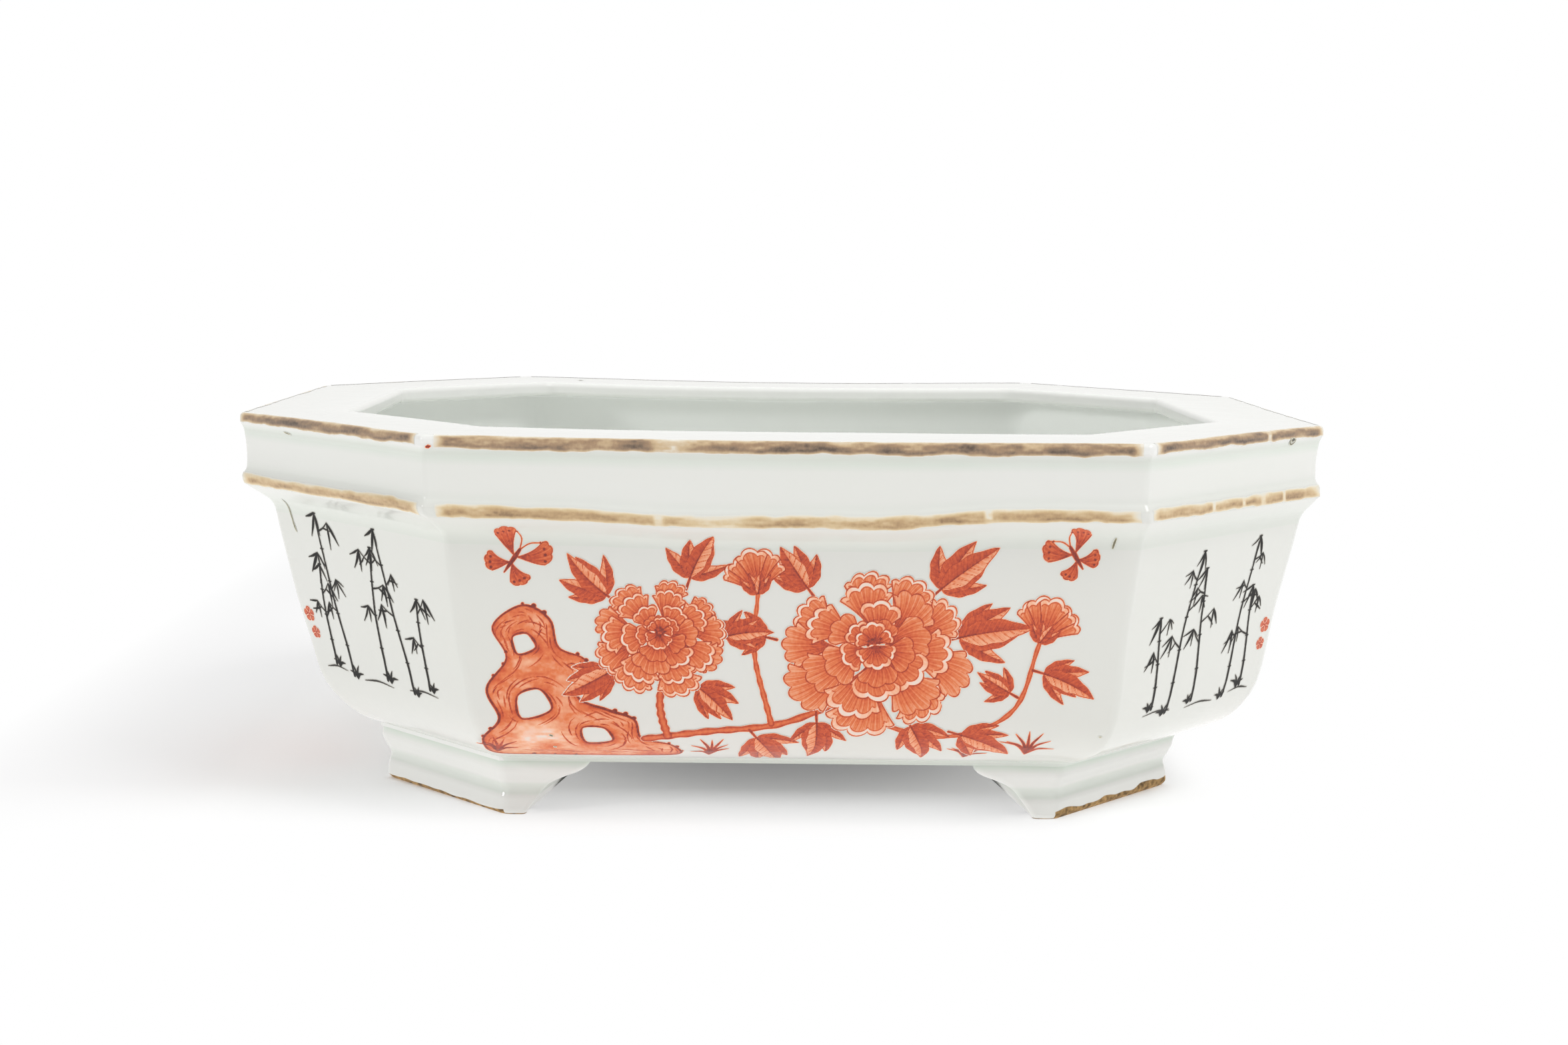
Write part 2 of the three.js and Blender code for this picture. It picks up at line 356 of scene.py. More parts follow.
class Section:
    """A run of a slab's section: a polyline with eased corners, sampled finely enough to turn."""

    STEP_ANGLE = math.radians(9)

    def __init__(self, bends: Sequence[Bend], longest: float = 3.5) -> None:
        """Traces the run.

        Args:
            bends: Its corners in order, with clay on the left of the way along.
            longest: The longest that a straight stretch may run without a row.
        """
        corners = [complex(b.inset, b.height) for b in bends]
        cuts = [0.0] * len(bends)
        for i in range(1, len(bends) - 1):
            if bends[i].soft:
                cuts[i] = bends[i].soft / math.tan(self.opening(*corners[i - 1 : i + 2]))
        for i, (a, b) in enumerate(zip(corners, corners[1:])):
            fit = min(1.0, 0.999 * abs(b - a) / max(cuts[i] + cuts[i + 1], 1e-9))
            cuts[i], cuts[i + 1] = cuts[i] * fit, cuts[i + 1] * fit
        rows = []
        for i, bend in enumerate(bends):
            eased = self.ease(*corners[i - 1 : i + 2], cuts[i]) if cuts[i] else [corners[i]]
            finish = (bend.arris, bend.pool, bend.green, bend.corner)
            rows += [(p.real, p.imag, *finish) for p in eased]
        self.rows = self.fill(np.array(rows), longest)

    @staticmethod
    def opening(before: complex, here: complex, after: complex) -> float:
        """Gives half of the angle between the two runs that meet at a corner."""
        return min(abs(np.angle((after - here) / (before - here))) / 2, math.pi / 2 - 1e-4)

    @classmethod
    def ease(cls, before: complex, here: complex, after: complex, cut: float) -> list[complex]:
        """Rounds one corner to an arc.

        Args:
            before: The corner before it.
            here: The corner.
            after: The corner after it.
            cut: How far from the corner the arc starts and ends.

        Returns:
            Points on the arc, from its start to its end.
        """
        back = (before - here) / abs(before - here)
        on = (after - here) / abs(after - here)
        half = cls.opening(before, here, after)
        centre = here + (back + on) / abs(back + on) * cut / math.cos(half)
        start, end = here + back * cut - centre, here + on * cut - centre
        turn = float(np.angle(end / start))
        steps = max(3, math.ceil(abs(turn) / cls.STEP_ANGLE))
        return [centre + start * np.exp(1j * turn * k / steps) for k in range(steps + 1)]

    @staticmethod
    def fill(rows: np.ndarray, longest: float) -> np.ndarray:
        """Adds rows on the straight stretches.

        Args:
            rows: The rows at the bends.
            longest: The longest that a stretch between two rows may be.

        Returns:
            The rows with the new ones among them.
        """
        full = [rows[0]]
        for a, b in zip(rows, rows[1:]):
            parts = max(1, math.ceil(math.hypot(b[0] - a[0], b[1] - a[1]) / longest))
            full += [a + (b - a) * k / parts for k in range(1, parts + 1)]
        return np.array(full)

    def slopes(self) -> np.ndarray:
        """Finds which way the run goes.

        Returns:
            Its unit direction, as inset and height, at each of its rows.
        """
        path = self.rows[:, :2]
        steps = np.diff(path, axis=0)
        steps /= np.linalg.norm(steps, axis=1)[:, None]
        mean = np.vstack([steps[:1], steps[1:] + steps[:-1], steps[-1:]])
        return mean / np.linalg.norm(mean, axis=1)[:, None]


@dataclass(frozen=True)
class Reach:
    """How far a piece runs along its side: from mitre to mitre, or from an ogee to one mitre.

    end is 0 for a piece with both mitres, and +1 or -1 for a foot's wing at that end of its side.
    straight and turns are how many columns the straight run and half of a rounded arris have.
    """

    end: int = 0
    straight: int = 16
    turns: int = 7

    @classmethod
    def whole(cls, side: Side) -> "Reach":
        """Reaches from mitre to mitre, in columns about five millimetres wide or less."""
        return cls(straight=44 if side.is_long else 20)


class FootShape:
    """The outline of a bracket foot, shared by its pieces."""

    PAD_INSET = 37.8
    ROLL = 1.5
    OGEE = (
        *((6.4, 0.0), (7.3, 1.6), (9.0, 3.9), (11.1, 6.6), (13.7, 9.2)),
        *((17.3, 11.1), (21.2, 12.7), (23.6, 14.5), (24.5, 16.6), (24.8, 19.5)),
    )

    @classmethod
    def curve(cls) -> np.ndarray:
        """Draws the ogee, as distance from the foot's corner and height, from its pad up."""
        return through([complex(d, z) for d, z in cls.OGEE])

    @classmethod
    def wing_length(cls, height: np.ndarray) -> np.ndarray:
        """Gives how far a wing runs from the foot's corner at each height."""
        return np.interp(height, cls.curve().imag, cls.curve().real)

    @classmethod
    def rolled(cls, spots: np.ndarray) -> np.ndarray:
        """Rolls the ogee's edge over.

        Args:
            spots: Places on a wing's face: distance from the foot's corner, and height.

        Returns:
            How deep the face lies at each of them.
        """
        gap = beside(cls.curve(), spots)[1]
        rest = np.clip(cls.ROLL - gap, 0, cls.ROLL)
        return cls.ROLL - np.sqrt(cls.ROLL**2 - rest**2) + 2 * np.clip(-gap, 0, 1)


class Clay:
    """Wraps a section along one side of the pot, and closes it to a solid slab.

    NUDGE is how far a point is moved each way to feel which way the fired surface faces.
    """

    NUDGE = 0.25

    def __init__(self, side: Side, reach: Reach) -> None:
        """Takes the side and how far along it the slab runs."""
        self.side = side
        self.reach = reach

    def fired(self, spots: np.ndarray) -> np.ndarray:
        """Takes true points of the slab through drying and firing.

        Args:
            spots: The points, in millimetres.

        Returns:
            Where they lie on the finished pot.
        """
        if self.reach.end:
            out, right = self.side.axes()
            corner = self.side.half - FootShape.PAD_INSET * MITRE_SLOPE
            along = (spots - (self.side.x, self.side.y, 0.0)) @ right
            deep = FootShape.rolled(corner - self.reach.end * along + 1j * spots[:, 2])
            spots = spots - np.multiply.outer(deep, out)
        return hand_made(spots)

    def columns(self) -> list[tuple[int, float]]:
        """Lists the slab's columns from left to right.

        Returns:
            Pairs of a zone and a share: zone 0 is the straight run, from 0 to 1, and zones -1 and
            +1 are the halves of the rounded arrises, by their turn in radians.
        """
        reach = self.reach
        turns = [MITRE_ANGLE * (k + 1) / reach.turns for k in range(reach.turns)]
        left = [(-1, -t) for t in reversed(turns)] if reach.end <= 0 else []
        right = [(1, t) for t in turns] if reach.end >= 0 else []
        steps = np.arange(reach.straight + 1) / reach.straight
        if reach.end:
            crowded = np.sin(steps * math.pi / 2)
            steps = crowded if reach.end < 0 else 1 - crowded[::-1]
        return left + [(0, float(share)) for share in steps] + right

    def points(self, rows: np.ndarray, slopes: np.ndarray) -> tuple[np.ndarray, np.ndarray]:
        """Places each row of a section on each column, and finds which way its glaze faces.

        Args:
            rows: The section's rows: inset, height, arris radius, pool, green and corner.
            slopes: The section's unit direction at each row.

        Returns:
            Points and normals, each as columns by rows by 3, with the points in millimetres.
        """
        inset, height, arris = rows[:, 0], rows[:, 1], rows[:, 2]
        out, right = self.side.axes()
        straight = self.side.half - inset * MITRE_SLOPE - arris * MITRE_SLOPE
        start, stop = -straight, straight
        if self.reach.end:
            corner = self.side.half - FootShape.PAD_INSET * MITRE_SLOPE
            ogee = self.reach.end * (corner - FootShape.wing_length(height))
            start, stop = (ogee, straight) if self.reach.end > 0 else (-straight, ogee)
        places, normals = [], []
        for zone, share in self.columns():
            turn = share if zone else 0.0
            along = start + (stop - start) * share if zone == 0 else zone * straight
            along = along + arris * math.sin(turn)
            deep = inset + arris * (1 - math.cos(turn))
            spot = self.side.place(along, deep, height)
            ahead = right * math.cos(turn) - out * math.sin(turn)
            away = out * math.cos(turn) + right * math.sin(turn)
            climb = np.multiply.outer(-slopes[:, 0], away) + np.multiply.outer(slopes[:, 1], (0, 0, 1))
            run = self.fired(spot + self.NUDGE * ahead) - self.fired(spot - self.NUDGE * ahead)
            rise = self.fired(spot + self.NUDGE * climb) - self.fired(spot - self.NUDGE * climb)
            normal = np.cross(run, rise)
            places.append(self.fired(spot))
            normals.append(normal / np.linalg.norm(normal, axis=1)[:, None])
        return np.array(places), np.array(normals)

    def solid(self, name: str, skins: Sequence[Section], backs: Sequence[Section]) -> bpy.types.Object:
        """Builds the slab from its seen faces and the hidden ones between them.

        Args:
            name: The piece's name.
            skins: The seen runs of the section.
            backs: The hidden runs, each from the end of a skin to the start of the next.

        Returns:
            The closed slab, with its glaze's own normals.
        """
        rows, slopes, seen = [], [], []
        for skin, back in zip(skins, backs):
            rows += [skin.rows, back.rows[1:-1]]
            slopes += [skin.slopes(), back.slopes()[1:-1]]
            seen += [True] * (len(skin.rows) - 1) + [False] * (len(back.rows) - 1)
        rows, slopes = np.concatenate(rows), np.concatenate(slopes)
        spots, normals = self.points(rows, slopes)
        wide, tall = spots.shape[:2]
        stood = [abs(turn) / MITRE_ANGLE if zone else 0.0 for zone, turn in self.columns()]
        bm = bmesh.new()
        bmesh.ops.create_grid(bm, x_segments=wide - 1, y_segments=tall, size=0.5)
        pool = bm.verts.layers.float.new("pool")
        green = bm.verts.layers.float.new("green")
        skin_face = bm.faces.layers.int.new("seen")
        cells = {}
        for vert in bm.verts:
            column = round((vert.co.x + 0.5) * (wide - 1))
            row = round((vert.co.y + 0.5) * tall)
            cells[vert] = (column, row)
            vert.co = Vector(spots[column, row % tall]) * MM
            vert[pool] = rows[row % tall, 3] + rows[row % tall, 5] * stood[column]
            vert[green] = rows[row % tall, 4]
        for made in bm.faces:
            made[skin_face] = int(seen[min(cells[v][1] for v in made.verts)])
        ways = {tuple(v.co): normals[c, r % tall] for v, (c, r) in cells.items()}
        bmesh.ops.remove_doubles(bm, verts=bm.verts, dist=1e-7)
        bmesh.ops.holes_fill(bm, edges=[e for e in bm.edges if e.is_boundary], sides=0)
        return finished(bm, name, ways)


def stand(name: str, data: bpy.types.ID) -> bpy.types.Object:
    """Puts a new object in the scene.

    Args:
        name: Its name.
        data: Its mesh, light or camera.

    Returns:
        The object, at the origin.
    """
    piece = bpy.data.objects.new(name, data)
    bpy.context.scene.collection.objects.link(piece)
    return piece


def finished(bm: bmesh.types.BMesh, name: str, ways: dict | None) -> bpy.types.Object:
    """Turns a mesh into a smoothly shaded piece, and stands it in the scene.

    Args:
        bm: The mesh, in metres, in place.
        name: The piece's name.
        ways: Which way the glaze faces at each seen vertex, by its place. None leaves the
            shading to the mesh, with sharp edges at its steeper turns.

    Returns:
        The piece.
    """
    mesh = bpy.data.meshes.new(name)
    for made in bm.faces:
        made.smooth = True
    if ways is None:
        bm.to_mesh(mesh)
        mesh.set_sharp_from_angle(angle=math.radians(40))
    else:
        skin_face = bm.faces.layers.int["seen"]
        bm.normal_update()
        facing = []
        for made in bm.faces:
            for corner in made.loops:
                way = ways[tuple(corner.vert.co)] if made[skin_face] else made.normal
                facing.append(tuple(way))
        bm.to_mesh(mesh)
        mesh.normals_split_custom_set(facing)
    bm.free()
    return stand(name, mesh)


def dress(
    piece: bpy.types.Object,
    material: bpy.types.Material,
    stands_for: Iterable[str] = (),
) -> None:
    """Gives a piece its finish, hangs it on the pot's body and hides the solids that it stands for.

    Args:
        piece: The piece, in place.
        material: Its finish.
        stands_for: The solids that it stands for.
    """
    piece.data.materials.append(material)
    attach(piece, BODY)
    if stands_for:
        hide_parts(*stands_for)
    LOG.info("%s: %d faces", piece.name, len(piece.data.polygons))


def add_node(
    tree: bpy.types.NodeTree,
    kind: str,
    inputs: dict | None = None,
    **settings: object,
) -> bpy.types.Node:
    """Adds a node with its settings and its links.

    Args:
        tree: The tree that it joins.
        kind: The node's type.
        inputs: Values, or sockets to link, by the input's name or number.
        settings: The node's own settings.

    Returns:
        The node.
    """
    node = tree.nodes.new(kind)
    for name, value in settings.items():
        setattr(node, name, value)
    for key, value in (inputs or {}).items():
        if isinstance(value, bpy.types.NodeSocket):
            tree.links.new(value, node.inputs[key])
        else:
            node.inputs[key].default_value = value
    return node


def shade(ramp: bpy.types.Node, shades: Sequence[tuple[float, str]]) -> bpy.types.NodeSocket:
    """Gives a colour ramp its shades.

    Args:
        ramp: The ramp, with its first two stops.
        shades: The place and the hex colour of each stop, in order.

    Returns:
        The ramp's colour.
    """
    stops = ramp.color_ramp.elements
    for place, _ in shades[2:]:
        stops.new(place)
    for stop, (place, code) in zip(sorted(stops, key=lambda s: s.position), shades):
        stop.position = place
        stop.color = linear(code)
    return ramp.outputs[0]


@dataclass(frozen=True)
class ClearGlaze:
    """Clear feldspathic glaze over white porcelain, dipped and fired to a hard gloss.

    It is paler on the lip and the feet, where it has run off thinner and the white body shows
    through; that paler colour is also painted light, lightening the lip and the feet, while the
    walls between are darkened as painted shade. It looks faintly greener where it has run into the
    hollows and stood thick. Inside the pot and under the lip it turns a faintly greenish white, far
    paler than outside: painted light in the pot's shade. belly is the middle height of the thicker,
    darker coat, and drained_and_lit how far from it the colour starts to pale and has paled. Sizes
    are in millimetres.
    """

    name: str
    # The paler colour of the lip and the feet is thinner glaze and also painted light; the two colours after
    # it are the walls', partly darkened as painted shade.
    thin_and_lit: str = "e6e6e3"
    thick: str = "dcdcd8"
    cloud: str = "d8d9d2"
    pooled: str = "c4d3c3"
    # The inner colour: a faint greenish tint, much paler than the outer glaze as painted light in the pot's
    # shade.
    celadon_and_lit: str = "f9faf8"
    biscuit: tuple[tuple[float, str], ...] = ((0.32, "5f4728"), (0.66, "c09a63"))
    roughness: float = 0.1
    biscuit_roughness: float = 0.85
    belly: float = 62.0
    drained_and_lit: tuple[float, float] = (43.5, 46.5)
    cloud_size: float = 70.0
    run_size: float = 16.0
    orange_peel: float = 2.2
    peel_height: float = 0.03
    wipe_size: float = 13.0
    grit_size: float = 1.8
    bare_edge: bool = False

    def coat(self, tree: bpy.types.NodeTree) -> tuple[bpy.types.NodeSocket, bpy.types.NodeSocket]:
        """Makes the glaze's colour and its faintly uneven surface.

        Args:
            tree: The material's nodes.

        Returns:
            The colour's socket and the normal's.
        """
        where = add_node(tree, "ShaderNodeTexCoord").outputs["Object"]
        clouds = add_node(
            tree, "ShaderNodeTexNoise", {"Vector": where, "Scale": 1 / (self.cloud_size * MM), "Detail": 3.0}
        )
        shades = {0: clouds.outputs[0], 6: linear(self.thick), 7: linear(self.cloud)}
        coat = add_node(tree, "ShaderNodeMix", shades, data_type="RGBA")
        height = add_node(tree, "ShaderNodeSeparateXYZ", {0: where}).outputs["Z"]
        above = add_node(tree, "ShaderNodeMath", {0: height, 1: self.belly * MM}, operation="SUBTRACT")
        off_belly = add_node(tree, "ShaderNodeMath", {0: above.outputs[0]}, operation="ABSOLUTE")
        # Paler towards the lip and the feet: thinner glaze, and painted light on them.
        thick_and_shaded_to, thin_and_lit_from = self.drained_and_lit
        span = {"Value": off_belly.outputs[0], "From Min": thick_and_shaded_to * MM, "From Max": thin_and_lit_from * MM}
        drained_and_lit = add_node(tree, "ShaderNodeMapRange", span, interpolation_type="SMOOTHSTEP")
        shades = {0: drained_and_lit.outputs[0], 6: coat.outputs[2], 7: linear(self.thin_and_lit)}
        body = add_node(tree, "ShaderNodeMix", shades, data_type="RGBA")
        pool = add_node(tree, "ShaderNodeAttribute", attribute_name="pool")
        # Towards the inner colour inside the pot and under the lip: a faint tint, and painted light in the
        # shade there.
        green = add_node(tree, "ShaderNodeAttribute", attribute_name="green")
        shades = {0: green.outputs["Fac"], 6: body.outputs[2], 7: linear(self.celadon_and_lit)}
        inner = add_node(tree, "ShaderNodeMix", shades, data_type="RGBA")
        runs = add_node(
            tree, "ShaderNodeTexNoise", {"Vector": where, "Scale": 1 / (self.run_size * MM), "Detail": 1.5}
        )
        span = {"Value": runs.outputs[0], "From Min": 0.3, "From Max": 0.7, "To Min": 0.7}
        patchy = add_node(tree, "ShaderNodeMapRange", span)
        depth = add_node(
            tree, "ShaderNodeMath", {0: pool.outputs["Fac"], 1: patchy.outputs[0]}, operation="MULTIPLY"
        )
        shades = {0: depth.outputs[0], 6: inner.outputs[2], 7: linear(self.pooled)}
        colour = add_node(tree, "ShaderNodeMix", shades, data_type="RGBA")
        peel, slow = (
            add_node(tree, "ShaderNodeTexNoise", {"Vector": where, "Scale": 1 / (size * MM), "Detail": 1.0})
            for size in (self.orange_peel, self.run_size)
        )
        swell = {0: slow.outputs[0], 1: 6.0, 2: peel.outputs[0]}
        uneven = add_node(tree, "ShaderNodeMath", swell, operation="MULTIPLY_ADD")
        skin = {"Strength": 0.6, "Distance": self.peel_height * MM, "Height": uneven.outputs[0]}
        bump = add_node(tree, "ShaderNodeBump", skin)
        return colour.outputs[2], bump.outputs[0]

    def material(self) -> bpy.types.Material:
        """Builds the glaze's material.

        Returns:
            The material, with the biscuit bared along the bottom edge where the glaze says so.
        """
        made = bpy.data.materials.new(self.name)
        made.use_nodes = True
        tree = made.node_tree
        shader = tree.nodes["Principled BSDF"]
        colour, normal = self.coat(tree)
        tree.links.new(normal, shader.inputs["Normal"])
        shader.inputs["IOR"].default_value = 1.5
        if not self.bare_edge:
            tree.links.new(colour, shader.inputs["Base Color"])
            shader.inputs["Roughness"].default_value = self.roughness
            return made
        bare, tan = self.wiped_edge(tree)
        blend = add_node(tree, "ShaderNodeMix", {0: bare, 6: colour, 7: tan}, data_type="RGBA")
        tree.links.new(blend.outputs[2], shader.inputs["Base Color"])
        span = {"Value": bare, "To Min": self.roughness, "To Max": self.biscuit_roughness}
        rough = add_node(tree, "ShaderNodeMapRange", span)
        tree.links.new(rough.outputs[0], shader.inputs["Roughness"])
        return made

    def wiped_edge(
        self, tree: bpy.types.NodeTree
    ) -> tuple[bpy.types.NodeSocket, bpy.types.NodeSocket]:
        """Bares the biscuit along the bottom edge, where the glaze was wiped before firing.

        Args:
            tree: The material's nodes.

        Returns:
            How bare the clay is, and the colour of the fired biscuit.
        """
        where = add_node(tree, "ShaderNodeTexCoord").outputs["Object"]
        height = add_node(tree, "ShaderNodeSeparateXYZ", {0: where}).outputs["Z"]
        bare = add_node(tree, "ShaderNodeAttribute", attribute_name="bare")
        edge = add_node(
            tree, "ShaderNodeTexNoise", {"Vector": where, "Scale": 1 / (self.wipe_size * MM), "Detail": 1.5}
        )
        span = {"Value": edge.outputs[0], "From Min": 0.3, "From Max": 0.7, "To Min": 0.55, "To Max": 1.4}
        swing = add_node(tree, "ShaderNodeMapRange", span)
        line = add_node(
            tree, "ShaderNodeMath", {0: bare.outputs["Fac"], 1: swing.outputs[0]}, operation="MULTIPLY"
        )
        above = add_node(tree, "ShaderNodeMath", {0: line.outputs[0], 1: height}, operation="SUBTRACT")
        span = {"Value": above.outputs[0], "From Min": -0.1 * MM, "From Max": 0.15 * MM}
        mask = add_node(tree, "ShaderNodeMapRange", span)
        grit = add_node(
            tree, "ShaderNodeTexNoise", {"Vector": where, "Scale": 1 / (self.grit_size * MM), "Detail": 5.0}
        )
        tan = add_node(tree, "ShaderNodeValToRGB", {0: grit.outputs[0]})
        return mask.outputs[0], shade(tan, self.biscuit)


@dataclass(frozen=True)
class Enamel:
    """Thin enamel painted over the fired glaze with a brush and fired on.

    The load is how much pigment the brush left: none shows the glaze, a little a pale wash, and a
    full brush a dark line. hair_size is the size of the unevenness that the brush's hairs leave,
    in millimetres, and sheer the load under which the glaze shows through.
    """

    name: str
    glaze: ClearGlaze
    shades: tuple[tuple[float, str], ...]
    roughness: float = 0.22
    ior: float = 1.5
    hair_size: float = 0.9
    sheer: float = 0.12

    def material(self) -> bpy.types.Material:
        """Builds the enamel's material.

        Returns:
            The material, which reads each film's own pigment load.
        """
        made = bpy.data.materials.new(self.name)
        made.use_nodes = True
        tree = made.node_tree
        shader = tree.nodes["Principled BSDF"]
        colour, normal = self.glaze.coat(tree)
        load = add_node(tree, "ShaderNodeAttribute", attribute_name="load").outputs["Fac"]
        where = add_node(tree, "ShaderNodeTexCoord").outputs["Object"]
        brush = add_node(
            tree, "ShaderNodeTexNoise", {"Vector": where, "Scale": 1 / (self.hair_size * MM), "Detail": 2.0}
        )
        span = {"From Min": 0.25, "From Max": 0.75, "To Min": 0.82, "To Max": 1.12}
        uneven = add_node(tree, "ShaderNodeMapRange", {"Value": brush.outputs[0], **span})
        laid = add_node(tree, "ShaderNodeMath", {0: load, 1: uneven.outputs[0]}, operation="MULTIPLY")
        ramp = add_node(tree, "ShaderNodeValToRGB", {0: laid.outputs[0]})
        pigment = shade(ramp, self.shades)
        cover = add_node(tree, "ShaderNodeMapRange", {"Value": laid.outputs[0], "From Max": self.sheer})
        blend = add_node(
            tree, "ShaderNodeMix", {0: cover.outputs[0], 6: colour, 7: pigment}, data_type="RGBA"
        )
        tree.links.new(blend.outputs[2], shader.inputs["Base Color"])
        tree.links.new(normal, shader.inputs["Normal"])
        shader.inputs["Roughness"].default_value = self.roughness
        shader.inputs["IOR"].default_value = self.ior
        return made


# The shades of each pigment, by how full the brush was: a bare wash at 0 and a full line at 1.
IRON_RED = (
    (0.0, "f3ddd0"),
    (0.2, "eeb08c"),
    (0.42, "de753f"),
    (0.62, "ca4e1c"),
    (0.82, "a5300d"),
    (1.0, "731a06"),
)
INK_BLACK = ((0.0, "b9b4aa"), (0.35, "6d6a64"), (0.7, "2b2a28"), (1.0, "151413"))
LIP_GILT = ((0.0, "e3dccb"), (0.25, "c9b08c"), (0.5, "a3876a"), (0.75, "836e5a"), (1.0, "5a4b40"))
BEAD_GILT = ((0.0, "e8dfca"), (0.3, "d3bc94"), (0.6, "bfa178"), (0.85, "a98b65"), (1.0, "917556"))
STAIN = ((0.0, "d8d6c4"), (0.3, "a9a486"), (0.6, "6d6850"), (1.0, "2b2822"))


class Canvas:
    """A patch of a wall's face, as a grid of pigment loads that brush strokes are laid on."""

    def __init__(self, left: float, right: float, bottom: float, top: float) -> None:
        """Stretches the grid.

        Args:
            left: Its left edge, in millimetres from the wall's middle.
            right: Its right edge.
            bottom: Its lower edge, in millimetres up the face.
            top: Its upper edge.
        """
        self.across = np.arange(left, right, CELL)
        self.up = np.arange(bottom, top, CELL)
        shape = (len(self.up), len(self.across))
        self.load = np.zeros(shape)
        self.cover = np.zeros(shape)

    def near(self, points: np.ndarray, margin: float) -> tuple[tuple[slice, slice], np.ndarray]:
        """Finds the cells near some points.

        Args:
            points: The points, as complex numbers.
            margin: How far round them to look.

        Returns:
            The cells' slices, and their places as complex numbers.
        """
        columns = np.searchsorted(self.across, (points.real.min() - margin, points.real.max() + margin))
        rows = np.searchsorted(self.up, (points.imag.min() - margin, points.imag.max() + margin))
        part = (slice(*rows), slice(*columns))
        return part, self.across[None, part[1]] + 1j * self.up[part[0], None]

    def cloud(self, wide: float, tall: float, chance: np.random.Generator) -> np.ndarray:
        """Makes a smooth uneven pattern over the whole grid.

        Args:
            wide: The blots' usual width.
            tall: The blots' usual height.
            chance: What they are drawn from.

        Returns:
            A value between -1 and 1 for each cell.
        """
        places = [(self.up - self.up[0]) / tall, (self.across - self.across[0]) / wide]
        (row, low), (column, left) = ((p.astype(int), smoothstep(0, 1, p % 1)) for p in places)
        knots = chance.uniform(-1, 1, (row[-1] + 2, column[-1] + 2))
        lower = knots[row][:, column] * (1 - left) + knots[row][:, column + 1] * left
        upper = knots[row + 1][:, column] * (1 - left) + knots[row + 1][:, column + 1] * left
        return lower * (1 - low)[:, None] + upper * low[:, None]

    def cover_with(self, part: tuple[slice, slice], share: np.ndarray, load: np.ndarray) -> None:
        """Lays an opaque shape over what is there: its share of each cell, and its load."""
        self.load[part] = self.load[part] * (1 - share) + np.clip(load, 0, 1) * share
        self.cover[part] = np.maximum(self.cover[part], share)

    def touch(self, part: tuple[slice, slice], ink: np.ndarray, load: float) -> None:
        """Lets ink sink into what is there: its share of each cell, and its load."""
        self.load[part] = np.maximum(self.load[part], ink * load)
        self.cover[part] = np.maximum(self.cover[part], ink)

    def along(self, path: np.ndarray, margin: float) -> tuple[tuple, np.ndarray, np.ndarray]:
        """Measures the cells near a path against it.

        Args:
            path: The path's points.
            margin: How far aside to look.

        Returns:
            The cells' slices, how far along the path each is from 0 to 1, and how far aside.
        """
        part, spots = self.near(path, margin)
        return part, *beside(path, spots)

    def line(self, path: np.ndarray, widths: Sequence[float], load: float) -> None:
        """Draws one brush line.

        Args:
            path: The line's points.
            widths: Its width at even stages from start to end.
            load: How full the brush is.
        """
        part, share, aside = self.along(path, max(widths) + 1)
        half = np.interp(share, np.linspace(0, 1, len(widths)), widths) / 2
        self.touch(part, covered(half - np.abs(aside)) * np.clip(half / 0.1, 0, 1), load)

    def dot(self, centre: complex, radius: float, load: float) -> None:
        """Touches the brush down once, at a place and with a radius and a load."""
        part, spots = self.near(np.array([centre]), radius + 1)
        self.touch(part, covered(radius - np.abs(spots - centre)), load)


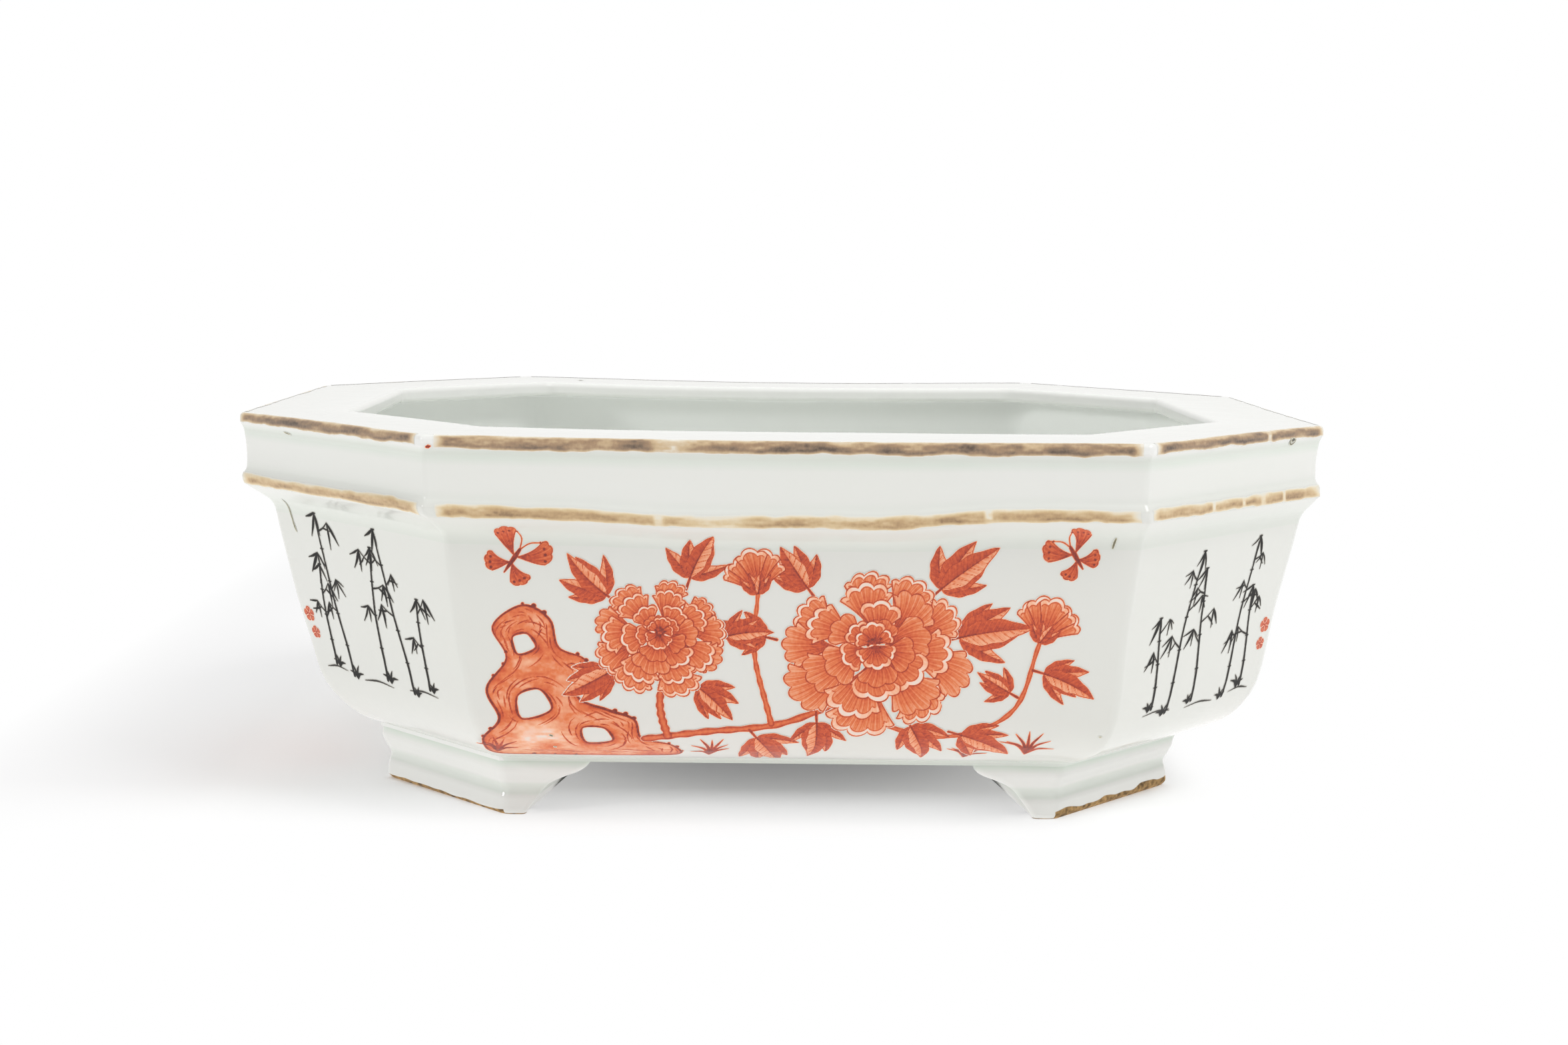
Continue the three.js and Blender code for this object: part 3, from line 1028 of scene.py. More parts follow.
class WallFace:
    """The outer face of one wall, as the sheet that a painter works on."""

    def __init__(self, side: Side, *runs: Section) -> None:
        """Lays the sheet.

        Args:
            side: The wall's side.
            runs: The runs of section that it follows, from its foot up.
        """
        self.side = side
        self.path = np.vstack([run.rows[min(k, 1) :, :2] for k, run in enumerate(runs)])
        self.slopes = np.vstack([run.slopes()[min(k, 1) :] for k, run in enumerate(runs)])
        steps = np.linalg.norm(np.diff(self.path, axis=0), axis=1)
        self.climb = np.concatenate([[0], np.cumsum(steps)])

    def at(self, across: np.ndarray, up: np.ndarray, lift: float) -> np.ndarray:
        """Finds places on the glaze.

        Args:
            across: Millimetres to the right of the wall's middle.
            up: Millimetres up the face, along its curve.
            lift: How far proud of the glaze.

        Returns:
            Points in metres.
        """
        inset, height, lean, climb = (
            np.interp(up, self.climb, row) for row in (*self.path.T, *self.slopes.T)
        )
        inset = inset - climb * lift
        height = height + lean * lift
        return hand_made(self.side.place(across, inset, height)) * MM

    def paint(self, name: str, canvas: Canvas, lift: float) -> bpy.types.Object:
        """Lays what is painted on a canvas onto the wall, as a film of enamel.

        Args:
            name: The piece's name.
            canvas: The painted grid.
            lift: How far the film stands proud of the glaze.

        Returns:
            The film, with its pigment load as an attribute.
        """
        tall, wide = canvas.load.shape
        painted = canvas.cover > 0.02
        bm = bmesh.new()
        bmesh.ops.create_grid(bm, x_segments=wide - 1, y_segments=tall - 1, size=0.5)
        keep = painted[1:, 1:] | painted[:-1, 1:] | painted[1:, :-1] | painted[:-1, :-1]
        bare = []
        for made in bm.faces:
            centre = made.calc_center_median()
            column = int((centre.x + 0.5) * (wide - 1))
            row = int((centre.y + 0.5) * (tall - 1))
            if not keep[row, column]:
                bare.append(made)
        bmesh.ops.delete(bm, geom=bare, context="FACES")
        mesh = bpy.data.meshes.new(name)
        bm.to_mesh(mesh)
        bm.free()
        flat = np.zeros(len(mesh.vertices) * 3, np.float32)
        mesh.vertices.foreach_get("co", flat)
        spots = flat.reshape(-1, 3)
        columns = np.rint((spots[:, 0] + 0.5) * (wide - 1)).astype(int)
        rows = np.rint((spots[:, 1] + 0.5) * (tall - 1)).astype(int)
        places = self.at(canvas.across[columns], canvas.up[rows], lift)
        mesh.vertices.foreach_set("co", places.astype(np.float32).ravel())
        load = mesh.attributes.new("load", "FLOAT", "POINT")
        load.data.foreach_set("value", canvas.load[rows, columns].astype(np.float32))
        corners = np.zeros(len(mesh.loops), np.int32)
        mesh.loops.foreach_get("vertex_index", corners)
        flat_map = np.stack([columns, rows], axis=1).astype(np.float32)
        flat_map = (flat_map - flat_map.min(0)) / (np.ptp(flat_map, axis=0) + 1) + 1e-4
        mesh.uv_layers.new(name="OFBake").data.foreach_set("uv", flat_map[corners].ravel())
        mesh.shade_smooth()
        mesh.update()
        return stand(name, mesh)


@dataclass
class Brush:
    """A painter's hand: a canvas, and a steady source of small unevenness."""

    canvas: Canvas
    seed: int
    chance: np.random.Generator = field(init=False)

    def __post_init__(self) -> None:
        """Seeds the unevenness, so that the picture comes out the same each time."""
        self.chance = np.random.default_rng(self.seed)

    def vary(self, share: float) -> float:
        """Gives a factor near 1, within that share of it."""
        return 1 + share * float(self.chance.uniform(-1, 1))

    def hairs(self, spots_across: np.ndarray, along: np.ndarray, fine: float) -> np.ndarray:
        """Gives the streaks that a brush's hairs leave.

        Args:
            spots_across: Each cell's place across the stroke, in millimetres.
            along: Each cell's place along the stroke, in millimetres.
            fine: The streaks' spacing in millimetres.

        Returns:
            A pattern between -1 and 1.
        """
        drift = 0.5 * np.sin(along / 5.3 + self.chance.uniform(0, 6))
        wave = sum(
            np.sin((spots_across + drift) * 2 * math.pi / (fine * k) + self.chance.uniform(0, 6))
            for k in (1.0, 1.7, 2.9)
        )
        return wave / 3

    def petal(
        self,
        base: complex,
        angle: float,
        length: float,
        spread: float,
        bend: float = 0.0,
        deep: float = 0.9,
        pale: float = 0.3,
        lobes: float = 3.0,
        frill: float = 0.1,
        fold: float = 0.0,
    ) -> None:
        """Paints a fan-shaped petal: a wash that fades to its frilled rim, hairlines, an outline.

        Args:
            base: Where the petal springs from.
            angle: The way that it points.
            length: From base to rim.
            spread: Half of the angle that it opens to.
            bend: How far its tip turns aside, in radians.
            deep: The wash's load at the base.
            pale: The wash's load at the rim.
            lobes: How many lobes the rim has.
            frill: How deep the lobes are, as a share of the length.
            fold: How wide the rim's turned edge is, as a share of the length.
        """
        tip = base + length * np.exp(1j * angle)
        part, spots = self.canvas.near(np.array([base, tip]), length * 0.8)
        way = (spots - base) * np.exp(-1j * angle)
        reach = np.abs(way)
        s = reach / length
        open_half = spread * (0.5 + 0.5 * np.clip(s, 0, 1) ** 0.6)
        t = (np.angle(way) - bend * s**2) / open_half
        phase = float(self.chance.uniform(-0.4, 0.4))
        scallop = np.abs(np.cos(lobes * math.pi / 2 * t + phase)) ** 0.7
        rim = 1 - 0.14 * t**2 - 0.1 * np.clip(np.abs(t) - 0.7, 0, 1) + frill * (scallop - 0.6)
        to_rim = (rim - s) * length
        to_side = (1 - np.abs(t)) * open_half * reach
        share = covered(np.minimum(to_rim, to_side))
        fade = np.clip(1 - s / rim, 0, 1)
        hairs = self.hairs(t * open_half * length, reach, 0.62)
        wash = pale + (deep - pale) * fade**1.1
        wash = wash + hairs * (0.1 + 0.16 * fade * (1 - fade) * 4 * 0.8)
        wash = wash - 0.12 * smoothstep(0.6, 1.0, np.abs(t)) * (1 - fade)
        if fold:
            turned = covered(fold * length - to_rim) * np.clip(1.25 - np.abs(t), 0, 1)
            crease = covered(0.17 - np.abs(to_rim - fold * length))
            wash = wash * (1 - turned) + 0.07 * turned
            wash = np.maximum(wash, 0.8 * crease * (np.abs(t) < 0.86))
        edge = np.minimum(to_rim, np.where(s > 0.25, to_side, 9))
        line = covered(0.19 - np.abs(edge - 0.12))
        wash = np.maximum(wash, line * 0.96)
        self.canvas.cover_with(part, share, wash)

    def peony(self, centre: complex, radius: float, tilt: float = 0.0) -> None:
        """Paints an open peony, from its back petals to its heart.

        Args:
            centre: Its middle.
            radius: Its size.
            tilt: How far it is turned, in radians.
        """
        # Each ring's petals: how many, how far out they spring, how far they reach, the half angle
        # that they open to, the wash's load at base and rim, the lobes, and the turned edge.
        rings = (
            (9, 0.36, 0.62, 0.62, 0.95, 0.34, 4.0, 0.10),
            (7, 0.22, 0.60, 0.66, 0.95, 0.36, 4.0, 0.12),
            (6, 0.10, 0.50, 0.72, 0.97, 0.38, 3.0, 0.14),
            (5, 0.05, 0.34, 0.78, 1.0, 0.45, 3.0, 0.16),
        )
        for number, (count, inner, reach, spread, deep, pale, lobes, fold) in enumerate(rings):
            turns = [2 * math.pi * (k + 0.5 * (number % 2)) / count + 0.3 for k in range(count)]
            for turn in sorted(turns, key=lambda a: -math.sin(a)):
                turn += tilt + 0.1 * float(self.chance.uniform(-1, 1))
                flat = complex(math.cos(turn), 0.82 * math.sin(turn))
                squash = 0.88 - 0.12 * math.sin(turn - tilt)
                base = centre + radius * inner * flat
                long = radius * reach * squash * self.vary(0.08)
                wide = spread * self.vary(0.08)
                bend = 0.2 * float(self.chance.uniform(-1, 1))
                turned = fold if self.chance.uniform() < 0.7 else 0.0
                self.petal(base, turn, long, wide, bend, deep, pale, lobes, fold=turned)
        # The petals of the heart, by their turn and their length's share of the radius.
        inmost = ((2.5, 0.2), (0.65, 0.2), (1.57, 0.24), (-2.3, 0.22), (-0.8, 0.22), (-1.57, 0.26))
        for turn, share in inmost:
            base = centre + radius * 0.03j
            self.petal(base, turn + tilt, radius * share, 0.75, deep=1.0, pale=0.4, fold=0.2)
        heart = centre + 0.05j * radius
        for k in range(9):
            way = np.exp(2j * math.pi * k / 9) * radius * 0.06 * self.vary(0.3)
            self.canvas.dot(heart + way, 0.42, 1.0)

    def leaf(self, base: complex, angle: float, length: float, width: float, bend: float) -> None:
        """Paints a pointed leaf: one half darker, with a midrib and side veins.

        Args:
            base: Where it springs from.
            angle: The way that it sets out.
            length: From base to tip.
            width: At its widest.
            bend: How far it turns on its way, in radians.
        """
        stages = np.linspace(0, 1, 14)
        steps = np.exp(1j * (angle + bend * stages[1:])) * length / 13
        path = base + np.concatenate([[0], np.cumsum(steps)])
        part, s, aside = self.canvas.along(path, width)
        half = width / 2 * np.sin(math.pi * np.clip(s, 0, 1) ** 0.72) ** 0.85 + 0.05
        half = half * (1 + 0.06 * np.sin(s * 19 + self.chance.uniform(0, 6)))
        t = aside / half
        inside = covered((1 - np.abs(t)) * half) * (np.abs(aside) < half + CELL)
        dark = 1 if bend < 0 else -1
        hairs = self.hairs(s * length - 0.7 * np.abs(aside), aside, 0.6)
        wash = 0.6 + 0.2 * np.sign(t) * dark - 0.16 * np.abs(t) + 0.1 * hairs
        count = max(4, round(length / 2.2))
        stage = (s - 0.42 * np.abs(t) * width / length) * count
        gap = np.abs(stage - np.rint(stage)) / count * length
        vein = covered(0.1 - gap) * (np.abs(t) < 0.86)
        rib = covered(0.1 + 0.16 * (1 - s) - np.abs(aside))
        edge = covered(0.13 - np.abs((1 - np.abs(t)) * half - 0.12))
        wash = np.maximum(wash, np.maximum(0.9 * vein, np.maximum(rib, 0.95 * edge)))
        self.canvas.cover_with(part, inside, wash)

    def leaf_spray(self, base: complex, angle: float, size: float) -> None:
        """Paints a leaf of five pointed leaflets on a short stalk.

        Args:
            base: Where the stalk springs from.
            angle: The way that the leaf points.
            size: From base to tip, nearly.
        """
        stalk = base + size * 0.24 * np.exp(1j * angle)
        self.canvas.line(np.array([base, stalk]), (0.8, 0.6), 0.9)
        for turn, share in ((0.95, 0.7), (-0.95, 0.7), (0.45, 0.82), (-0.45, 0.82), (0.0, 1.0)):
            long = size * share * self.vary(0.08)
            lean = angle + turn * self.vary(0.12)
            bend = (0.35 if turn > 0 else -0.35 if turn < 0 else 0.25) * self.vary(0.6)
            self.leaf(stalk, lean, long, long * 0.36 * self.vary(0.12), -bend)

    def stem(self, points: Sequence[complex], start: float, end: float) -> None:
        """Paints a woody stem with darker edges.

        Args:
            points: Points along it.
            start: Its width at the first of them.
            end: Its width at the last.
        """
        path = through(points)
        part, s, aside = self.canvas.along(path, start + 1)
        half = (start + (end - start) * s) / 2 * (1 + 0.14 * np.sin(s * 60))
        t = np.abs(aside) / half
        self.canvas.cover_with(part, covered((1 - t) * half), 0.5 + 0.5 * t**2)

    def bud(self, base: complex, angle: float, size: float) -> None:
        """Paints a half-open bud in its cup of leaves.

        Args:
            base: Where it sits on its stem.
            angle: The way that it points.
            size: Its length.
        """
        for turn in (0.62, -0.62, 0.32, -0.32, 0.0):
            long = size * (1.02 - 0.2 * abs(turn)) * self.vary(0.06)
            self.petal(base, angle + turn, long, 0.4, deep=0.95, pale=0.36, lobes=2, fold=0.12)
        for turn in (0.95, -0.95, 0.3, -0.35):
            self.leaf(base, angle + turn, size * 0.5, size * 0.2, -0.5 * turn)

    def rock(self, outline: Sequence[complex], holes: Sequence[Sequence[complex]]) -> None:
        """Paints a pierced garden rock: a watery wash, folds along its edges and dots of moss.

        Args:
            outline: Points round it, in order.
            holes: Points round each opening.
        """
        rings = [around(outline), *(around(hole) for hole in holes)]
        part, spots = self.canvas.near(rings[0], 1)
        gap = np.full(spots.shape, 99.0)
        for number, ring in enumerate(rings):
            clay = within(ring, spots) == (number == 0)
            gap = np.minimum(gap, np.abs(beside(ring, spots)[1]) * np.where(clay, 1, -1))
        share = covered(gap)
        edge = np.exp(-np.clip(gap, 0, None) / 1.3)
        blots = self.canvas.cloud(5.5, 4.0, self.chance)[part]
        fine = self.canvas.cloud(1.6, 0.9, self.chance)[part]
        self.canvas.cover_with(part, share, 0.3 + 0.34 * edge + 0.2 * blots + 0.08 * fine)
        for number, ring in enumerate(rings):
            ahead = np.gradient(ring) / np.abs(np.gradient(ring))
            inward = 1j * ahead
            if within(ring, ring[:1] + inward[:1])[0] != (number == 0):
                inward = -inward
            for start in range(0, len(ring) - 8, 2):
                count = int(self.chance.integers(4, 9))
                deep = float(self.chance.uniform(0.8, 4.2)) * np.linspace(0.75, 1.3, count)
                fold = ring[start : start + count]
                fold = fold + inward[start : start + len(fold)] * deep[: len(fold)]
                self.canvas.line(fold, (0.1, 0.45, 0.3, 0.1), 0.86 * self.vary(0.12))
        self.canvas.load[part] *= share
        self.canvas.cover[part] *= share
        for ring in rings:
            self.canvas.line(ring, (0.5, 0.85, 0.4, 0.75, 0.45, 0.9, 0.5, 0.7, 0.5), 1.0)
        for start in range(6, len(rings[0]) - 12, 21):
            for k in range(0, 9, 3):
                self.canvas.dot(rings[0][start + k] + 0.5j, 0.55 * self.vary(0.25), 1.0)

    def butterfly(self, centre: complex, size: float, tilt: float) -> None:
        """Paints a butterfly seen from above, with dark wing edges and spots.

        Args:
            centre: The middle of its body.
            size: The length of a fore wing.
            tilt: How far it is turned, in radians.
        """
        body = np.exp(1j * (tilt + math.pi / 2))
        for side in (1, -1):
            for turn, share, spread in ((2.3, 0.7, 0.52), (1.02, 1.0, 0.42)):
                angle = float(np.angle(body)) + side * turn
                root = centre + body * size * (0.06 if share == 1.0 else -0.1)
                long = size * share
                self.petal(root, angle, long, spread, side * -0.25, deep=0.95, pale=0.55, frill=0.05)
                for k in (-1, 0, 1):
                    way = np.exp(1j * (angle + k * spread * 0.5 - side * 0.12))
                    self.canvas.dot(root + long * 0.8 * way, size * 0.045, 1.0)
        ends = (centre + body * size * 0.3, centre - body * size * 0.45)
        self.canvas.line(np.array(ends), (0.8, 1.3, 1.0, 0.3), 1.0)
        for side in (1, -1):
            feeler = [
                ends[0],
                ends[0] + body * size * 0.28 + 0.12j * side * body * size,
                ends[0] + body * size * 0.46 + 0.34j * side * body * size,
            ]
            self.canvas.line(through(feeler), (0.3, 0.22), 0.95)
            self.canvas.dot(feeler[-1], 0.3, 1.0)

    def tuft(self, base: complex, size: float, blades: int) -> None:
        """Paints a tuft of grass: tapering blades that arch away from one foot.

        Args:
            base: Their foot.
            size: The length of the longest.
            blades: How many there are.
        """
        for k in range(blades):
            lean = (k / (blades - 1) - 0.5) * 1.7 * self.vary(0.2)
            long = size * (1 - 0.35 * abs(lean)) * self.vary(0.18)
            tip = base + long * np.exp(1j * (math.pi / 2 - lean))
            droop = complex(0.15 * long * lean, -0.1 * long * abs(lean))
            middle = base + 0.55 * long * np.exp(1j * (math.pi / 2 - 0.7 * lean))
            path = through([base, middle, tip + droop])
            self.canvas.line(path, (0.35, 0.95, 0.7, 0.15), 0.9 * self.vary(0.1))

    def bamboo_leaf(self, base: complex, angle: float, length: float) -> None:
        """Paints one bamboo leaf with a single pressed and lifted stroke.

        Args:
            base: Where it springs from.
            angle: The way that it points.
            length: From base to tip.
        """
        path = through(
            [
                base,
                base + length * 0.5 * np.exp(1j * (angle + 0.06 * self.vary(1.0))),
                base + length * np.exp(1j * angle),
            ]
        )
        wide = 0.14 * length * self.vary(0.2)
        widths = (0.3, 0.8 * wide, wide, 0.8 * wide, 0.48 * wide, 0.18)
        self.canvas.line(path, widths, 1.0)

    def bamboo_spray(self, base: complex, aside: float, size: float, leaves: int) -> None:
        """Paints a spray of bamboo leaves that hangs from the end of a twig.

        Args:
            base: The twig's end.
            aside: Which way it leans: -1 is left and 1 right.
            size: The length of the longest leaf.
            leaves: How many there are, up to five.
        """
        fall = -math.pi / 2 + 0.3 * aside
        fan = ((-0.28, 1.0), (0.3, 0.9), (-0.95, 0.72), (0.92, 0.66), (0.02, 0.6))
        for turn, share in fan[:leaves]:
            self.bamboo_leaf(base, fall + turn * self.vary(0.25), size * share * self.vary(0.15))

    def bamboo(self, foot: complex, height: float, lean: float, sprays: int) -> None:
        """Paints a slender bamboo stem in joints, with sprays of leaves on its upper twigs.

        Args:
            foot: Where it stands.
            height: Its height.
            lean: How far its top is to the right of its foot.
            sprays: How many twigs it has.
        """
        joints = max(4, round(height / 9))
        shares = [k / joints for k in range(joints + 1)]
        knots = [foot + complex(lean * share**1.6, height * share) for share in shares]
        for a, b in zip(knots, knots[1:]):
            gap = (b - a) / abs(b - a) * 0.36
            thick = 0.85 - 0.35 * (a.imag - foot.imag) / height
            self.canvas.line(np.array([a + gap, b - gap]), (thick * 1.15, thick, thick * 1.1), 0.93)
            self.canvas.line(np.array([b - 0.75, b + 0.75]), (0.25, 0.45, 0.25), 1.0)
        self.bamboo_spray(knots[-1], 0.4 if lean > 0 else -0.4, 7.0, 3)
        for k in range(sprays):
            level = foot + complex(0, height * (0.34 + 0.6 * (k + 0.5 * self.vary(0.6)) / sprays))
            share = (level.imag - foot.imag) / height
            knot = complex(foot.real + lean * share**1.6, level.imag)
            aside = 1 if k % 2 else -1
            twig = knot + complex(aside * 4.0 * self.vary(0.45), 3.2 * self.vary(0.5))
            bent = knot + 0.55 * (twig - knot) - 0.35j
            self.canvas.line(through([knot, bent, twig]), (0.5, 0.36, 0.26), 0.95)
            leaves = int(self.chance.integers(2, 5))
            self.bamboo_spray(twig, aside, 6.0 * self.vary(0.25), leaves)
            if leaves < 4:
                self.bamboo_leaf(bent, -math.pi / 2 + aside * 1.2 * self.vary(0.3), 4.2 * self.vary(0.2))

    def blossom(self, centre: complex, size: float) -> None:
        """Paints a five-petalled plum blossom.

        Args:
            centre: Its middle.
            size: The length of a petal.
        """
        for k in range(5):
            turn = 2 * math.pi * k / 5 + 0.4
            self.petal(centre, turn, size, 0.6, deep=0.9, pale=0.45, lobes=1, frill=0.0)
        self.canvas.dot(centre, 0.3, 1.0)


@dataclass
class Walls:
    """The eight wall slabs: upright behind the collar, leaning in below it and turned under.

    The bottom edge leans out by foot_lean on its way up to foot_crease, where the turn starts.
    Inside, the glaze thickens between the heights pool_start and pool_full.
    """

    thickness: float = 7.5
    head_inset: float = 7.0
    batter_top: float = 81.0
    turn_corner: tuple[float, float] = (19.23, 21.26)
    turn_radius: float = 26.0
    foot_inset: float = 36.15
    foot_lean: float = 0.2
    foot_crease: float = 17.3
    inner_corner: tuple[float, float] = (26.15, 25.0)
    inner_radius: float = 18.5
    fillet_end: float = 41.3
    head: float = 105.5
    head_ease: float = 2.5
    pool_start: float = 99.0
    pool_full: float = 88.0

    def outside(self) -> Section:
        """Traces the outer face.

        Returns:
            The run from the bottom edge up to the collar.
        """
        bends = [
            Bend(self.foot_inset, FLOOR_UNDERSIDE, arris=4.5, pool=0.6),
            Bend(self.foot_inset - self.foot_lean, self.foot_crease, 0.9, arris=4.5, pool=0.4),
            Bend(*self.turn_corner, self.turn_radius, arris=4.5),
            Bend(self.head_inset, self.batter_top, arris=3.6),
        ]
        return Section(bends)

    def inside(self) -> Section:
        """Traces the inner face.

        Returns:
            The run from under the lip down to the floor.
        """
        inner = self.head_inset + self.thickness
        # Inside, the glaze takes the inner colour: a faint greenish tint, lightened as painted light in the
        # pot's shade.
        bends = [
            Bend(inner + self.head_ease, self.head, arris=10, green=1.0),
            Bend(inner, self.head, 2.0, arris=9, green=1.0),
            Bend(inner, self.pool_start, arris=9, green=1.0),
            Bend(inner, self.pool_full, arris=9, green=1.0, pool=0.1),
            Bend(inner, self.batter_top, 16, arris=9, green=1.0, pool=0.15),
            Bend(*self.inner_corner, self.inner_radius, arris=10, green=0.9, pool=0.3, corner=0.3),
            Bend(self.fillet_end, FLOOR_TOP + 0.02, arris=8, green=0.9, pool=0.2),
        ]
        return Section(bends)

    def backs(self) -> list[Section]:
        """Traces the hidden faces.

        Returns:
            The run behind the collar, and the one against the floor slab.
        """
        behind = [
            Bend(self.head_inset, self.batter_top, arris=3.6),
            Bend(self.head_inset, self.head - JOINT_GAP),
            Bend(self.head_inset + self.thickness + self.head_ease, self.head, arris=10),
        ]
        under = [
            Bend(self.fillet_end, FLOOR_TOP, arris=8),
            Bend(self.fillet_end, FLOOR_TOP - 0.1, arris=8),
            Bend(self.foot_inset, FLOOR_TOP - 0.1, arris=4.5),
            Bend(self.foot_inset, FLOOR_UNDERSIDE, arris=4.5),
        ]
        return [Section(behind), Section(under)]

    def build(self, material: bpy.types.Material) -> None:
        """Builds and glazes the eight walls.

        Args:
            material: The clear glaze.
        """
        for face, side in SIDES.items():
            clay = Clay(side, Reach.whole(side))
            name = f"{face.value}_wall"
            slab = clay.solid(f"{name}_glazed", [self.outside(), self.inside()], self.backs())
            dress(slab, material, [name])


@dataclass
class Rim:
    """The eight collar strips and the eight lip slabs over them.

    The lip's seen underside runs back to lip_seam. The collar's hidden back stands
    back_clearance off the wall down to back_foot above the cove's start.
    """

    cove_start: tuple[float, float] = (7.0, 81.0)
    cove_corner: tuple[float, float] = (6.7, 83.2)
    cove_end: tuple[float, float] = (0.5, 88.5)
    joint: tuple[float, float] = (1.1, 104.6)
    lip_width: float = 28.9
    lip_underside: float = 105.5
    lip_seam: float = 17.0
    back_clearance: float = 0.2
    back_foot: float = 4.6

    def cove(self) -> list[Bend]:
        """Lists the bends of the cove.

        Returns:
            The bends from the wall's head to the bead.
        """
        return [
            Bend(*self.cove_start, arris=3.6),
            Bend(*self.cove_corner, 6.0, arris=3.2, pool=0.2),
            Bend(*self.cove_end, 2.4, arris=2.4),
        ]

    def collar(self) -> Section:
        """Traces the collar's seen face.

        Returns:
            The run up the cove, the bead and the hollowed band.
        """
        bends = [
            *self.cove(),
            Bend(0.3, 91.1, 1.6, arris=2.2),
            # The band takes a little of the inner colour: a faint tint and a little painted light.
            Bend(1.45, 93.2, 2.4, arris=2.6, pool=0.08, green=0.15),
            Bend(1.6, 99.0, 60, arris=3.0, green=0.15),
            Bend(*self.joint, arris=2.6, pool=0.4, green=0.15),
        ]
        return Section(bends)

    def lip(self) -> Section:
        """Traces the lip's seen face.

        Returns:
            The run over its proud edge, its flat top, its inner edge and its underside.
        """
        bends = [
            Bend(*self.joint, arris=2.6, pool=0.4, green=0.15),
            Bend(0.9, 105.9, 2.5, arris=2.4, pool=0.3),
            Bend(0.12, 107.6, 1.6, arris=2.0),
            Bend(0.08, HEIGHT - 0.05, 1.3, arris=2.0),
            Bend(14.0, HEIGHT - 0.35, 60, arris=4),
            # The inner edge and the underside take the inner colour: a faint tint, lightened as painted
            # light under the lip.
            Bend(self.lip_width, HEIGHT - 0.1, 1.8, arris=5, green=0.2),
            Bend(self.lip_width, self.lip_underside, 1.6, arris=5, green=0.5),
            Bend(self.lip_seam, self.lip_underside, arris=8, green=0.7, pool=0.2),
        ]
        return Section(bends)

    def build(self, glaze: bpy.types.Material) -> None:
        """Builds and glazes the collar and the lip.

        Args:
            glaze: The clear glaze.
        """
        deep, low = self.cove_start
        behind = deep - JOINT_GAP - self.back_clearance
        collar_back = [
            Bend(*self.joint, arris=2.6),
            Bend(behind, self.joint[1] - 0.1),
            Bend(behind, low + self.back_foot),
            Bend(deep, low, arris=3.6),
        ]
        lip_back = [
            Bend(self.lip_seam, self.lip_underside, arris=8),
            Bend(deep, self.lip_underside - 0.1),
            Bend(*self.joint, arris=2.6),
        ]
        for face, side in SIDES.items():
            clay = Clay(side, Reach.whole(side))
            collar = clay.solid(f"{face.value}_collar_glazed", [self.collar()], [Section(collar_back)])
            dress(collar, glaze, [f"{face.value}_collar"])
            lip = clay.solid(f"{face.value}_lip_glazed", [self.lip()], [Section(lip_back)])
            dress(lip, glaze, [f"{face.value}_lip"])


@dataclass
class Feet:
    """The four bracket feet, each a middle under a cut corner and a wing on either side.

    The bare heights say how high the edge was wiped on the left feet, the right feet and the
    wings. row is the longest step up the seen face, which the rolled ogee needs short.
    """

    back_inset: float = 45.3
    toe_inset: float = 38.9
    crown: tuple[float, float] = (34.4, 18.3)
    bare_left: float = 1.45
    bare_right: float = 2.3
    bare_wing: float = 0.3
    row: float = 0.6

    def moulding(self) -> Section:
        """Traces a foot's seen face.

        Returns:
            The run from the ground up to its crease with the wall.
        """
        bends = [
            Bend(self.toe_inset, 0.0, arris=5),
            Bend(37.8, 1.2, 1.6, arris=5),
            Bend(38.1, 4.9, 4, arris=5),
            Bend(39.1, 7.5, 3, arris=5, pool=0.35),
            Bend(37.6, 10.0, 4, arris=5),
            Bend(36.4, 13.0, 4, arris=4.5),
            Bend(36.3, 17.4, 1.6, arris=4, pool=1.0),
            Bend(*self.crown, arris=3, pool=0.8),
        ]
        return Section(bends, longest=self.row)

    def back(self) -> Section:
        """Traces a foot's hidden faces.

        Returns:
            The run over its top and down its plain back to the ground again.
        """
        bends = [
            Bend(*self.crown, arris=3),
            Bend(self.back_inset, FLOOR_UNDERSIDE - 0.05, arris=1),
            Bend(self.back_inset, 0.0, arris=1),
            Bend(self.toe_inset, 0.0, arris=5),
        ]
        return Section(bends)

    def build(self, glaze: bpy.types.Material) -> None:
        """Builds and glazes the twelve pieces.

        Args:
            glaze: The clear glaze, wiped off the bottom edge.
        """
        for i in range(1, len(FACES), 2):
            foot = FACES[i].value.replace("_corner", "_foot")
            middle = Clay(SIDES[FACES[i]], Reach(straight=8, turns=9))
            name = f"{foot}_middle"
            bare_height = self.bare_left if middle.side.x < 0 else self.bare_right
            self.dress_foot(middle, name, glaze, bare_height)
            for end in (1, -1):
                side = SIDES[FACES[(i - end) % len(FACES)]]
                which = "long" if side.is_long else "short"
                wing = Clay(side, Reach(end=end, straight=30, turns=9))
                self.dress_foot(wing, f"{foot}_{which}_wing", glaze, self.bare_wing)

    def dress_foot(
        self, clay: Clay, name: str, glaze: bpy.types.Material, bare_height: float
    ) -> None:
        """Builds one piece of a foot and marks how high its edge was wiped bare.

        Args:
            clay: The piece's side and reach.
            name: The solid that it stands for.
            glaze: The wiped glaze.
            bare_height: How high the bare clay comes, in millimetres.
        """
        piece = clay.solid(f"{name}_glazed", [self.moulding()], [self.back()])
        bare = piece.data.attributes.new("bare", "FLOAT", "POINT")
        count = len(piece.data.vertices)
        bare.data.foreach_set("value", np.full(count, bare_height * MM, np.float32))
        dress(piece, glaze, [name])


